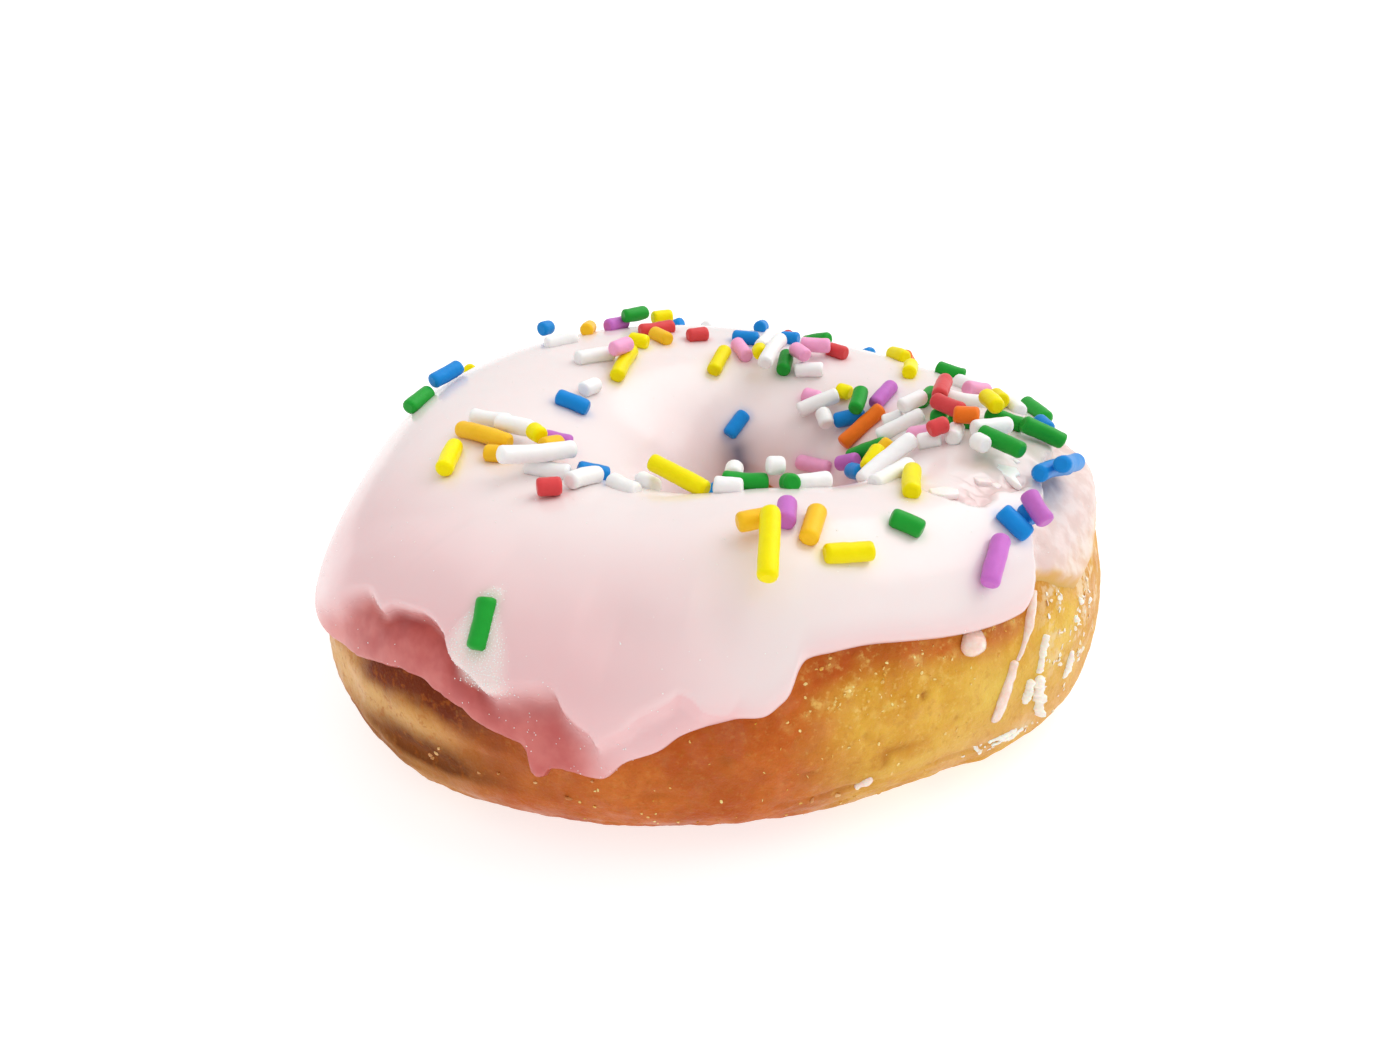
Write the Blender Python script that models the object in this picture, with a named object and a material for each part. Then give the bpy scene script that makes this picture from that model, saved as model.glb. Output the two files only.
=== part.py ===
"""A ring doughnut with pale pink icing and rod-shaped sugar sprinkles.

The ring is described about the axis of its hole. A place on it is a bearing, in degrees round the hole
(0 is +X, 90 is +Y), and a turn, in degrees round the ring's section (0 is the outer side at its widest,
90 the crest, 180 the wall of the hole, 270 the underside).
"""

from math import cos, degrees, exp, hypot, radians, sin, sqrt
import random

import bmesh
import bpy
from mathutils import Matrix, Vector

MM = 0.001

# Dough: the ring is uneven, so its outer reach and its crest are given every 30 degrees of bearing.
HOLE_AXIS = (3.75, -1.9)
HOLE_REACH = 9.0
BELLY_HEIGHT = 8.3
OUTER_REACH = {
    0: 39.3, 30: 40.2, 60: 39.5, 90: 41.5, 120: 44.3, 150: 46.2,
    180: 45.9, 197: 46.8, 210: 45.5, 240: 40.3, 270: 35.3, 300: 33.2, 330: 36.4,
}
CREST_HEIGHT = {
    0: 26.4, 30: 25.5, 60: 26.0, 90: 27.0, 120: 28.0, 150: 28.0,
    180: 27.2, 210: 25.8, 240: 26.3, 270: 27.4, 300: 26.4, 330: 26.0,
}
ROUND_TOP = 0.90
FOOT_ROUNDNESS = {
    0: 0.70, 30: 0.75, 120: 0.79, 180: 0.74, 210: 0.68, 225: 0.58, 240: 0.76, 270: 0.82, 300: 0.80, 330: 0.64,
}
FOOT_PRESSED = 1.06
DOUGH_STEPS = (72, 20)

# Icing: a skin over the dough, from its wavy outer edge over the crest and down into the hole.
ICING_GAP = 0.4
ICING_DEPTH = 1.6
RIM_WIDTH = 5.5
OUTER_EDGE = {
    4: 42, 20: 38, 42: 26, 62: 21, 82: 28, 100: 33, 120: 26, 142: 17, 160: 19, 182: 12,
    198: 9.5, 203: 10.5, 208: 13, 214: 16, 221: 20.5, 225: 20.5, 230: 17, 235: 13, 240: 10, 243: 4.5,
    250: 5, 252: 9, 256: 13, 259: 17, 262: 19.5, 266: 21.5, 270: 21.5, 272: 24, 275: 34, 280: 37,
    286: 37.5, 293: 36, 302: 34, 310: 33, 316: 34, 321: 40, 325: 38, 330: 31, 333: 28, 346: 34,
}
INNER_EDGE = {0: 157, 50: 163, 95: 156, 140: 165, 190: 158, 235: 152, 280: 158, 325: 151}
LIP_LINE = {
    200: 22, 208: 28.5, 213: 37, 219: 39, 224: 40.5, 228: 38, 231: 31.5, 236: 26.5, 240: 29, 244: 30,
    249: 19, 251: 19, 254: 23.5, 259: 30.5, 263: 26, 267: 30,
}
LIP_RISE = 0.8
LIP_SINK = 0.9
ICING_SWELLS = (
    (250, 45, 14, 9, -0.4),
    (332, 52, 9, 12, -0.8),
    (78, 140, 26, 12, 0.9),
    (46, 128, 7, 16, -0.8),
    (262, 30, 8, 8, 0.3),
    (357, 49, 12, 8, 1.1),
    (190, 30, 22, 26, -0.9),
)
ICING_TOP_STEPS = (0, 0.014, 0.04, 0.08, 0.125, 0.17, 0.23, 0.32, 0.44, 0.57, 0.70, 0.82, 0.92, 0.98, 1)
ICING_FOOT_STEPS = 9
ICING_ROUND_STEPS = 72

# Sprinkles: sugar rods pressed a little into the icing.
SPRINKLE_THICKNESS = 1.8
SPRINKLE_PRESSED = 0.35
SPRINKLE_SIDES = 6
SPRINKLE_CROWDING = 0.9
SHORTEST_SPRINKLE = 1.0
HIGHEST_LIFT = 4.0
LIFT_STEP = 0.1
# Where a person's eye was when it read the sprinkles' places.
EYE = (-0.65, -107.0, 72.5)

# Each sprinkle placed by eye: colour, bearing and turn of one end and of the other, and where it leans on
# something, how much higher in millimetres each end lies. The lower ones come first.
LEFT_SHOULDER = (
    ("green", 172.5, 57, 166, 59),
    ("blue", 165.5, 61, 159, 65),
    ("yellow", 193, 80.5, 202, 76),
    ("white", 183, 83, 187, 93),
    ("white", 186, 90, 190, 99),
    ("orange", 187.5, 81, 197, 93),
    ("yellow", 189, 99, 193, 101.5),
    ("orange", 198.5, 87.5, 200.5, 91),
    ("purple", 193, 102, 195, 110),
    ("orange", 198, 101, 194.5, 107),
    ("blue", 210.5, 106, 214, 114),
    ("white", 206, 94, 213, 102),
    ("white", 201.5, 90, 198, 110),
    ("white", 218, 98, 215, 110),
    ("red", 217, 90, 219, 94.8),
    ("blue", 170, 102.5, 171, 113),
    ("white", 162, 108, 154.5, 109.5),
    ("green", 231, 50.5, 233, 36),
)
NEAR_RIM = (
    ("white", 220, 110, 231, 109),
    ("white", 221, 120, 231, 117),
    ("yellow", 229, 115, 252, 111, 1.8, 0.5),
    ("white", 258, 120, 257, 126, 1, 3),
    ("white", 255, 107, 264, 107),
    ("green", 256.5, 112, 272, 112),
    ("white", 273, 111, 276.5, 111),
    ("green", 278.5, 110, 279.5, 104),
    ("white", 282, 112, 296, 111),
)
HEAP = (
    ("pink", 57, 146, 31, 143.5),
    ("green", 18, 136, 4, 123),
    ("purple", 25, 140, 13, 135),
    ("blue", 7, 139, 352, 134),
    ("yellow", 352, 132, 3, 126),
    ("orange", 358, 128, 2, 121),
    ("blue", 46, 126, 35.5, 118),
    ("green", 40.5, 118.5, 46, 108),
    ("yellow", 54, 112, 48, 112),
    ("pink", 67, 119, 58, 119),
    ("white", 66, 127, 52, 115),
    ("white", 55, 124, 48, 129),
    ("purple", 35, 113, 39, 99.5),
    ("green", 22, 103, 27, 93),
    ("yellow", 13, 101, 10, 98),
    ("green", 8, 104, 6, 100),
    ("white", 25, 108, 26, 98),
    ("white", 22, 118, 19, 111),
    ("white", 13, 124, 12, 106),
    ("orange", 31.5, 133.5, 30, 113),
    ("pink", 359.5, 114.5, 356, 105),
    ("white", 350.5, 111, 350.5, 103),
    ("red", 358, 107, 0, 101),
    ("white", 357, 98, 349, 99),
    ("white", 333, 129, 355, 113),
    ("white", 311, 107, 331, 107.5),
    ("yellow", 324, 102, 310, 89),
)
FRONT = (
    ("purple", 275.5, 91, 274, 80.5),
    ("orange", 264.5, 82, 272, 84.5),
    ("yellow", 271, 85, 270, 60),
    ("orange", 281.7, 85.5, 277.8, 73),
    ("yellow", 280.5, 68, 289.5, 66),
    ("green", 298, 79, 302.3, 70.5),
    ("purple", 317, 60, 308.7, 47),
    ("blue", 328, 66, 326, 60),
    ("blue", 322, 69, 322.5, 57),
    ("purple", 332, 68.5, 328.5, 57.5),
    ("blue", 339, 70, 350.5, 60.5),
    ("blue", 348, 64, 356, 55.5),
)
RIGHT_SHOULDER = (
    ("green", 5, 88, 0, 77),
    ("green", 1, 77, 0, 61),
    ("green", 2, 100, 0, 92),
    ("orange", 7, 97, 5, 90),
    ("white", 355, 93, 359, 82),
    ("green", 353, 91, 346, 78),
    ("white", 349, 92, 346, 89),
    ("white", 33, 76, 24, 74),
    ("white", 20, 72, 12, 71),
    ("green", 18, 64, 9, 63),
    ("blue", 8, 67, 4, 65),
    ("yellow", 24, 70, 19, 72),
    ("white", 22, 93, 15, 83),
    ("yellow", 20, 79, 13, 80),
    ("pink", 27, 80, 27, 69),
    ("green", 41, 73, 35, 68),
    ("red", 21, 97, 11, 93),
    ("red", 33, 82, 24, 93),
)
FAR_CREST = (
    ("yellow", 54.5, 70, 48.5, 76),
    ("yellow", 46.5, 77, 41.5, 88),
    ("red", 68, 86, 62, 88),
    ("blue", 138, 68, 135, 66, 1, 1),
    ("orange", 132, 80, 128, 72),
    ("purple", 126, 78, 120, 74),
    ("green", 122, 79, 115.5, 76),
    ("red", 120, 85, 110.5, 83),
    ("yellow", 114, 76, 109, 75, 0.5, 0.5),
    ("orange", 118, 89, 116, 96),
    ("red", 109, 92, 103, 90.5),
    ("yellow", 130, 100, 146, 111),
    ("yellow", 126, 92, 123, 97),
    ("pink", 135, 97, 128, 95),
    ("white", 147, 95.5, 136, 99),
    ("white", 142, 77, 135, 80),
    ("yellow", 99.5, 103, 106.5, 116),
    ("blue", 95.5, 90, 88, 91),
    ("white", 84.5, 84, 87.5, 98),
    ("blue", 88, 80, 87, 74),
    ("yellow", 88, 98, 87, 103),
    ("pink", 76, 86, 68, 84),
    ("white", 81.5, 90, 85.5, 109),
    ("blue", 82, 84, 77, 84),
    ("pink", 95, 96, 92, 106),
    ("green", 78.5, 99, 78, 111),
    ("pink", 77, 93, 72, 98),
    ("white", 74, 108, 64, 104),
    ("blue", 94.5, 133, 106, 142),
)
PLACED_BY_EYE = LEFT_SHOULDER + NEAR_RIM + HEAP + FRONT + RIGHT_SHOULDER + FAR_CREST

# Sprinkles strewn by rule: middle bearing and turn of a patch, its half widths, and how many are tried.
# Those of the heap fill its gaps, and the others lie only where the eye above doesn't see.
HEAP_PATCH = (20, 108, 14, 16, 12)
UNSEEN_PATCHES = (
    (65, 42, 85, 26, 190),
    (262, 130, 55, 12, 14),
    (170, 40, 30, 16, 14),
)
STREWN_COLOURS = ("white",) * 8 + ("green",) * 4 + ("blue",) * 4 + ("pink",) * 4 + ("yellow",) * 3
STREWN_COLOURS += ("orange",) * 3 + ("purple",) * 3 + ("red",) * 2
STREWN_LENGTHS = (3.0, 6.8)
STREWN_LIFT = 1.3
STREWN_SEED = 7
SECTION_RADIUS = 16.5
HIDDEN_BELOW = -0.25

# Finishes: base colour (linear), roughness.
DOUGH_FINISH = ((0.62, 0.30, 0.09), 0.55)
ICING_FINISH = ((0.86, 0.64, 0.64), 0.25)


def clear_scene():
    for thing in list(bpy.data.objects):
        bpy.data.objects.remove(thing, do_unlink=True)


def collection_named(name):
    group = bpy.data.collections.new(name)
    bpy.context.scene.collection.children.link(group)
    return group


def move_to(thing, group):
    for holder in list(thing.users_collection):
        holder.objects.unlink(thing)
    group.objects.link(thing)


def finish(thing, name, colour, roughness):
    material = bpy.data.materials.new(name)
    material.use_nodes = True
    shader = material.node_tree.nodes["Principled BSDF"]
    shader.inputs["Base Color"].default_value = (*colour, 1)
    shader.inputs["Roughness"].default_value = roughness
    shader.inputs["Metallic"].default_value = 0.0
    thing.data.materials.clear()
    thing.data.materials.append(material)


def around(stations, bearing):
    """A smooth closed curve through values given at some bearings."""
    keys = sorted(stations)
    count = len(keys)
    at = bearing % 360
    start = max((i for i in range(count) if keys[i] <= at), default=count - 1)
    before, here, there, after = (keys[(start + step) % count] for step in (-1, 0, 1, 2))

    def ahead(first, second):
        return (second - first) % 360 or 360

    span = ahead(here, there)
    share = ((at - here) % 360) / span
    slope_here = (stations[there] - stations[before]) / (ahead(before, here) + span) * span
    slope_there = (stations[after] - stations[here]) / (span + ahead(there, after)) * span
    cube, square = share ** 3, share ** 2
    return (
        (2 * cube - 3 * square + 1) * stations[here]
        + (cube - 2 * square + share) * slope_here
        + (3 * square - 2 * cube) * stations[there]
        + (cube - square) * slope_there
    )


def bowed(value, power):
    return abs(value) ** power * (1 if value >= 0 else -1)


def section(bearing, turn):
    """Distance from the hole's axis and height of the dough's skin."""
    outer, crest = around(OUTER_REACH, bearing), around(CREST_HEIGHT, bearing)
    middle, half = (outer + HOLE_REACH) / 2, (outer - HOLE_REACH) / 2
    across, up = cos(radians(turn)), sin(radians(turn))
    power = ROUND_TOP if up >= 0 else around(FOOT_ROUNDNESS, bearing)
    rise = (crest - BELLY_HEIGHT) if up >= 0 else BELLY_HEIGHT * FOOT_PRESSED
    return middle + half * bowed(across, power), max(BELLY_HEIGHT + rise * bowed(up, power), 0.0)


def outward(bearing, turn):
    """Direction away from the dough's skin: along the reach and upwards."""
    step = 0.5
    first, second = section(bearing, turn - step), section(bearing, turn + step)
    along, up = second[0] - first[0], second[1] - first[1]
    size = hypot(along, up)
    return up / size, -along / size


def in_space(bearing, reach, height):
    angle = radians(bearing)
    return Vector((HOLE_AXIS[0] + reach * cos(angle), HOLE_AXIS[1] + reach * sin(angle), height)) * MM


def over_dough(bearing, turn, depth=0.0):
    """A point a given depth of icing away from the dough's skin."""
    reach, height = section(bearing, turn)
    out, up = outward(bearing, turn)
    return in_space(bearing, reach + out * depth, height + up * depth)


def facing(bearing, turn):
    out, up = outward(bearing, turn)
    return Vector((out * cos(radians(bearing)), out * sin(radians(bearing)), up))


def eased(low, high, value):
    share = min(max((value - low) / (high - low), 0.0), 1.0)
    return share * share * (3 - 2 * share)


def bearing_between(first, second):
    return (second - first + 180) % 360 - 180


def icing_depth(bearing, turn):
    """Height of the icing's face over the dough away from its rims."""
    depth = ICING_GAP + ICING_DEPTH
    for at_bearing, at_turn, wide, tall, height in ICING_SWELLS:
        aside = bearing_between(at_bearing, bearing) / wide
        above = (turn - at_turn) / tall
        depth += height * exp(-(aside * aside + above * above))
    lip = eased(198, 210, bearing) * (1 - eased(254, 268, bearing))
    if lip > 0:
        over = turn - around(LIP_LINE, bearing)
        raised = eased(-3, 2, over)
        fading = 1 - eased(10, 35, over)
        depth += lip * (LIP_RISE * raised * fading - LIP_SINK * (1 - raised))
    return depth


def icing_face(bearing, share):
    """A point of the icing's outer face, from its outer edge (share 0) to its edge in the hole (1)."""
    low, high = around(OUTER_EDGE, bearing), around(INNER_EDGE, bearing)
    turn = low + (high - low) * share
    from_rim = min(max(turn - low, 0.0), max(high - turn, 0.0), RIM_WIDTH) / RIM_WIDTH
    roundness = 0.42 + 0.58 * sqrt(from_rim * (2 - from_rim))
    depth = ICING_GAP + (icing_depth(bearing, turn) - ICING_GAP) * roundness
    return over_dough(bearing, turn, depth)


def icing_foot(bearing, share):
    """A point of the icing's face towards the dough."""
    low, high = around(OUTER_EDGE, bearing) + 1.0, around(INNER_EDGE, bearing) - 1.0
    return over_dough(bearing, low + (high - low) * share, ICING_GAP)


def ring_from_torus(name, group, round_steps, section_steps, place):
    """A closed ring: a torus whose corners are put on the shape that place() gives."""
    bpy.ops.mesh.primitive_torus_add(
        major_segments=round_steps, minor_segments=section_steps, major_radius=25 * MM, minor_radius=10 * MM
    )
    ring = bpy.context.object
    ring.name = name
    ring.data.name = name
    for corner in ring.data.vertices:
        station, step = divmod(corner.index, section_steps)
        corner.co = place(360 * station / round_steps, step)
    ring.data.shade_smooth()
    move_to(ring, group)
    return ring


def make_dough(group):
    section_steps = DOUGH_STEPS[1]

    def place(bearing, step):
        return over_dough(bearing, 360 * step / section_steps)

    dough = ring_from_torus("dough", group, *DOUGH_STEPS, place)
    finish(dough, "fried dough", *DOUGH_FINISH)
    return dough


def make_icing(group):
    top_steps = len(ICING_TOP_STEPS)

    def place(bearing, step):
        if step < top_steps:
            return icing_face(bearing, ICING_TOP_STEPS[step])
        return icing_foot(bearing, 1 - (step - top_steps + 0.5) / ICING_FOOT_STEPS)

    icing = ring_from_torus("icing", group, ICING_ROUND_STEPS, top_steps + ICING_FOOT_STEPS, place)
    finish(icing, "pink icing", *ICING_FINISH)
    return icing


def rods_apart(first, second):
    """Least distance between the middle lines of two sprinkles."""
    (a, b), (c, d) = first, second
    ab, cd, ca = b - a, d - c, a - c
    long_ab, long_cd, both = ab.dot(ab), cd.dot(cd), ab.dot(cd)
    on_ab, on_cd = ab.dot(ca), cd.dot(ca)
    parting = long_ab * long_cd - both * both
    share = min(max((both * on_cd - long_cd * on_ab) / parting, 0), 1) if parting > 1e-16 else 0.5
    other = min(max((both * share + on_cd) / long_cd, 0), 1)
    share = min(max((both * other - on_ab) / long_ab, 0), 1)
    return ((a + ab * share) - (c + cd * other)).length


def lay_sprinkle(laid, colour, bearing, turn, end_bearing, end_turn, rise=0.0, end_rise=0.0, highest=HIGHEST_LIFT):
    """Lay one sprinkle on the icing, lifted until it clears those that lie there already."""
    middle_bearing = bearing + bearing_between(bearing, end_bearing) / 2
    middle_turn = (turn + end_turn) / 2
    up = facing(middle_bearing, middle_turn)
    depth = ICING_GAP + ICING_DEPTH
    one_end, other_end = over_dough(bearing, turn, depth), over_dough(end_bearing, end_turn, depth)
    length = (other_end - one_end).length
    along = other_end - one_end
    along = (along - up * along.dot(up)).normalized() * length + up * (end_rise - rise) * MM
    along.normalize()
    middle = (one_end + other_end) / 2
    middle += up * (over_dough(middle_bearing, middle_turn, depth) - middle).dot(up)
    sight = (Vector(EYE) * MM - middle).normalized()
    seen = up.dot(sight)
    lift_along = sight / max(seen, 0.3) if seen > 0.12 else up
    middle += up * (rise + end_rise) / 2 * MM
    half = along * max(length - 0.4 * SPRINKLE_THICKNESS * MM, SHORTEST_SPRINKLE * MM) / 2
    lift = SPRINKLE_THICKNESS / 2 - SPRINKLE_PRESSED
    nearest = SPRINKLE_THICKNESS * SPRINKLE_CROWDING * MM
    while lift < highest:
        centre = middle + lift_along * lift * MM
        rod = (centre - half, centre + half)
        if all(rods_apart(rod, other) > nearest for _, other in laid):
            laid.append((colour, rod))
            return
        lift += LIFT_STEP


def strew(laid, draw, patch, everywhere):
    """Lay a patch of sprinkles at random, each on the icing itself."""
    bearing, turn, wide, tall, count = patch
    for _ in range(count):
        at_bearing = bearing + draw.uniform(-wide, wide)
        at_turn = turn + draw.uniform(-tall, tall)
        heading = radians(draw.uniform(0, 180))
        length = draw.uniform(*STREWN_LENGTHS)
        colour = draw.choice(STREWN_COLOURS)
        reach = section(at_bearing, at_turn)[0]
        half_bearing = degrees(length * cos(heading) / reach) / 2
        half_turn = degrees(length * sin(heading) / SECTION_RADIUS) / 2
        middle = over_dough(at_bearing, at_turn)
        seen = facing(at_bearing, at_turn).dot((Vector(EYE) * MM - middle).normalized())
        on_icing = at_turn - abs(half_turn) > around(OUTER_EDGE, at_bearing) + RIM_WIDTH
        if on_icing and (everywhere or seen < HIDDEN_BELOW):
            lay_sprinkle(
                laid, colour, at_bearing - half_bearing, at_turn - half_turn,
                at_bearing + half_bearing, at_turn + half_turn, highest=STREWN_LIFT,
            )


def lay_sprinkles():
    laid = []
    for placed in PLACED_BY_EYE:
        lay_sprinkle(laid, *placed)
    draw = random.Random(STREWN_SEED)
    strew(laid, draw, HEAP_PATCH, True)
    for patch in UNSEEN_PATCHES:
        strew(laid, draw, patch, False)
    return laid


def make_sprinkle(group, number, rod):
    start, end = rod
    along = end - start
    overhang = 0.2 * SPRINKLE_THICKNESS * MM
    bpy.ops.mesh.primitive_cylinder_add(
        vertices=SPRINKLE_SIDES,
        radius=0.54 * SPRINKLE_THICKNESS * MM,
        depth=along.length + 2 * overhang,
    )
    sprinkle = bpy.context.object
    sprinkle.name = f"sprinkle_{number}"
    turned = along.to_track_quat("Z", "Y").to_matrix().to_4x4()
    sprinkle.matrix_world = Matrix.Translation((start + end) / 2) @ turned @ Matrix.Rotation(number, 4, "Z")
    sprinkle.hide_render = True
    sprinkle.display_type = "WIRE"
    move_to(sprinkle, group)
    return sprinkle


def fuse(base, group):
    """Join everything in a collection to the base in one union, and remove what was joined."""
    union = base.modifiers.new("sprinkles", "BOOLEAN")
    union.operation = "UNION"
    union.operand_type = "COLLECTION"
    union.collection = group
    union.solver = "MANIFOLD"
    bpy.context.view_layer.objects.active = base
    bpy.ops.object.modifier_apply(modifier=union.name)
    for piece in list(group.objects):
        bpy.data.objects.remove(piece, do_unlink=True)


def enclosed(faces):
    """Signed volume inside a set of faces."""
    total = 0.0
    for face in faces:
        first = face.verts[0].co
        for second, third in zip(face.verts[1:], face.verts[2:]):
            total += first.dot(second.co.cross(third.co)) / 6
    return total


def keep_main_body(thing):
    """Drop loose scraps and fill sealed hollows, both of which are shells of their own."""
    shape = bmesh.new()
    shape.from_mesh(thing.data)
    bmesh.ops.remove_doubles(shape, verts=shape.verts, dist=0.00001)
    shells = []
    unseen = set(shape.faces)
    while unseen:
        shell = set()
        front = [unseen.pop()]
        while front:
            face = front.pop()
            shell.add(face)
            for edge in face.edges:
                for neighbour in edge.link_faces:
                    if neighbour in unseen:
                        unseen.discard(neighbour)
                        front.append(neighbour)
        shells.append(shell)
    shells.sort(key=lambda faces: abs(enclosed(faces)))
    for shell in shells[:-1]:
        bmesh.ops.delete(shape, geom=list(shell), context="FACES")
    loose = [corner for corner in shape.verts if not corner.link_faces]
    bmesh.ops.delete(shape, geom=loose, context="VERTS")
    bmesh.ops.triangulate(shape, faces=shape.faces)
    shape.to_mesh(thing.data)
    shape.free()


def build():
    clear_scene()
    doughnut = collection_named("sprinkle frosted doughnut")
    loose_sprinkles = collection_named("sprinkles to fuse")
    make_dough(doughnut)
    icing = make_icing(doughnut)
    for number, (_, rod) in enumerate(lay_sprinkles()):
        make_sprinkle(loose_sprinkles, number, rod)
    fuse(icing, loose_sprinkles)
    keep_main_body(icing)
    icing.data.set_sharp_from_angle(angle=radians(35))


build()
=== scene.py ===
"""The looks of a ring doughnut with pale pink icing and rod-shaped sugar sprinkles.

A place on the ring is a bearing, in degrees round the hole's axis (0 is +X, 90 is +Y), and a turn, in degrees
round the ring's section (0 is the outer side at its widest, 90 the crest, 180 the wall of the hole, 270 the
underside). Lengths are in millimetres, and MM makes them metres.
"""

import random
from math import atan, cos, degrees, exp, hypot, pi, radians, sin, sqrt

import bmesh
import bpy
import numpy as np
from mathutils import Matrix, Vector, noise


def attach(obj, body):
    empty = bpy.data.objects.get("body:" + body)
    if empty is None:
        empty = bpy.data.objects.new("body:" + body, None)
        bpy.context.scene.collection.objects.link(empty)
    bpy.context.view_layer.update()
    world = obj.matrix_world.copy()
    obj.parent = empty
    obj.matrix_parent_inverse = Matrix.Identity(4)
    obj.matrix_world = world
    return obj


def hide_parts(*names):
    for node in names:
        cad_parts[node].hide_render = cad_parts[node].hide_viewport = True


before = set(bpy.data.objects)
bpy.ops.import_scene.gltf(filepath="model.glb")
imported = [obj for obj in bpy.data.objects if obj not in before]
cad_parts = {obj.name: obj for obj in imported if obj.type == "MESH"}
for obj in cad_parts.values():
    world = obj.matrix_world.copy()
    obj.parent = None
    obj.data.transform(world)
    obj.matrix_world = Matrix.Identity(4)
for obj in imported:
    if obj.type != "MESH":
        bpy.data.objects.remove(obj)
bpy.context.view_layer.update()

MM = 0.001

# The ring, as in the solid model: outer reach, crest height and roundness of its foot for some bearings.
HOLE_AXIS = (3.75, -1.9)
HOLE_REACH = 9.0
BELLY_HEIGHT = 8.3
OUTER_REACH = {
    0: 39.3, 30: 40.2, 60: 39.5, 90: 41.5, 120: 44.3, 150: 46.2,
    180: 45.9, 197: 46.8, 210: 45.5, 240: 40.3, 270: 35.3, 300: 33.2, 330: 36.4,
}
CREST_HEIGHT = {
    0: 26.4, 30: 25.5, 60: 26.0, 90: 27.0, 120: 28.0, 150: 28.0,
    180: 27.2, 210: 25.8, 240: 26.3, 270: 27.4, 300: 26.4, 330: 26.0,
}
ROUND_TOP = 0.90
FOOT_ROUNDNESS = {
    0: 0.70, 30: 0.75, 120: 0.79, 180: 0.74, 210: 0.68, 225: 0.58, 240: 0.76, 270: 0.82, 300: 0.80, 330: 0.64,
}
FOOT_PRESSED = 1.06
SECTION_RADIUS = 16.5
DOUGH_ROUND_STEPS = 580
DOUGH_SECTION_STEPS = 170
FRONT_BEARING = 275
FRONT_CROWDING = 22
SIDE_TURN = 8
SIDE_CROWDING = 24
SEAM_WIDTH = 0.0001

# The crust's relief: size of the lumps and height, the folds near its foot, and the rough patch under the
# icing's edge. Then its pits, cracks and folds: bearing, turn, half widths in degrees, height, and how dark.
DOUGH_RELIEF = ((9.0, 0.28), (3.4, 0.13), (1.4, 0.07), (0.7, 0.03))
FOOT_FOLDS_TURN = 328
FOOT_FOLDS_SPREAD = 12
FOOT_FOLDS_HEIGHT = 0.3
CRUSTED_PATCH = (287, 22, 16, 10)
CRUSTED_HEIGHT = 0.16
DOUGH_MARKS = (
    (296.5, 16.5, 0.8, 1.1, -0.35, 0.9),
    (292.5, 2.5, 3.0, 0.8, -0.24, 0.55),
    (289.8, 0.5, 0.8, 2.4, -0.20, 0.5),
    (286.0, 9.0, 0.7, 0.9, -0.16, 0.4),
    (277.0, 2.0, 1.6, 0.8, -0.22, 0.4),
    (265.0, 9.0, 1.2, 1.6, -0.25, 0.5),
    (256.0, 0.0, 2.4, 0.8, -0.22, 0.4),
    (303.0, 6.0, 0.6, 1.0, -0.22, 0.4),
    (222.0, -3.0, 8.0, 2.0, -0.40, 0.3),
    (211.0, -12.0, 7.0, 2.4, -0.28, 0.2),
    (234.0, 3.0, 3.0, 1.4, -0.30, 0.3),
    (283.0, -11.0, 7.0, 1.6, -0.30, 0.0),
    (304.0, -11.0, 8.0, 1.6, -0.28, 0.0),
)

# Where the crust takes other colours, where light and shade are painted on it, and where it carries sugar. A
# window is
# four bearings: it opens from the first to the second and shuts from the third to the last. A patch is a
# strength, a bearing, a turn and half widths.
GOLDEN_AND_LIT_WINDOW = (264, 286, 30, 80)
RUST_WINDOW = (222, 240, 270, 288)
EDGE_SHADE_WINDOW = (270, 276, 310, 330)
SHADOWED_WINDOW = (208, 217, 224, 246)
FROSTED_WINDOW = (318, 328, 5, 25)
FLAKED_WINDOW = (321, 326, 334, 345)
SPECKLED_WINDOW = (228, 250, 300, 320)
PALE_PATCHES = ((1, 208, 4, 9, 9), (0.75, 220, 5, 9, 4), (0.6, 110, 2, 90, 7), (0.7, 318, -8, 22, 9))
OLIVE_PATCHES = ((1.5, 224, -3, 11, 5), (0.6, 212, -14, 16, 6))
LIT_PATCHES = ((1, 311, 10, 7, 9), (0.8, 326, 16, 6, 12), (0.5, 300, -4, 14, 4))
FROSTED_PATCHES = ((0.8, 317, -12, 9, 5),)
CRYSTAL_PATCHES = ((1, 288, 24, 13, 8), (1, 312, 31, 5, 3))
CRYSTAL_CLUMP = ((1.5, 283, 24, 1.0, 1.4),)
CRUMB_PATCHES = ((1, 247, -1, 5, 4), (1, 288, -13, 14, 4), (0.4, 228, -4, 14, 6))
FLAKE_PATCHES = ((0.9, 317, -13, 8, 4),)
SPECKLED_SHARE = 0.025
THINNEST_MASK = 0.02
BARE_UNDER_EDGE = 0.3
BARE_ABOVE_FLOOR = 0.8

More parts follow.
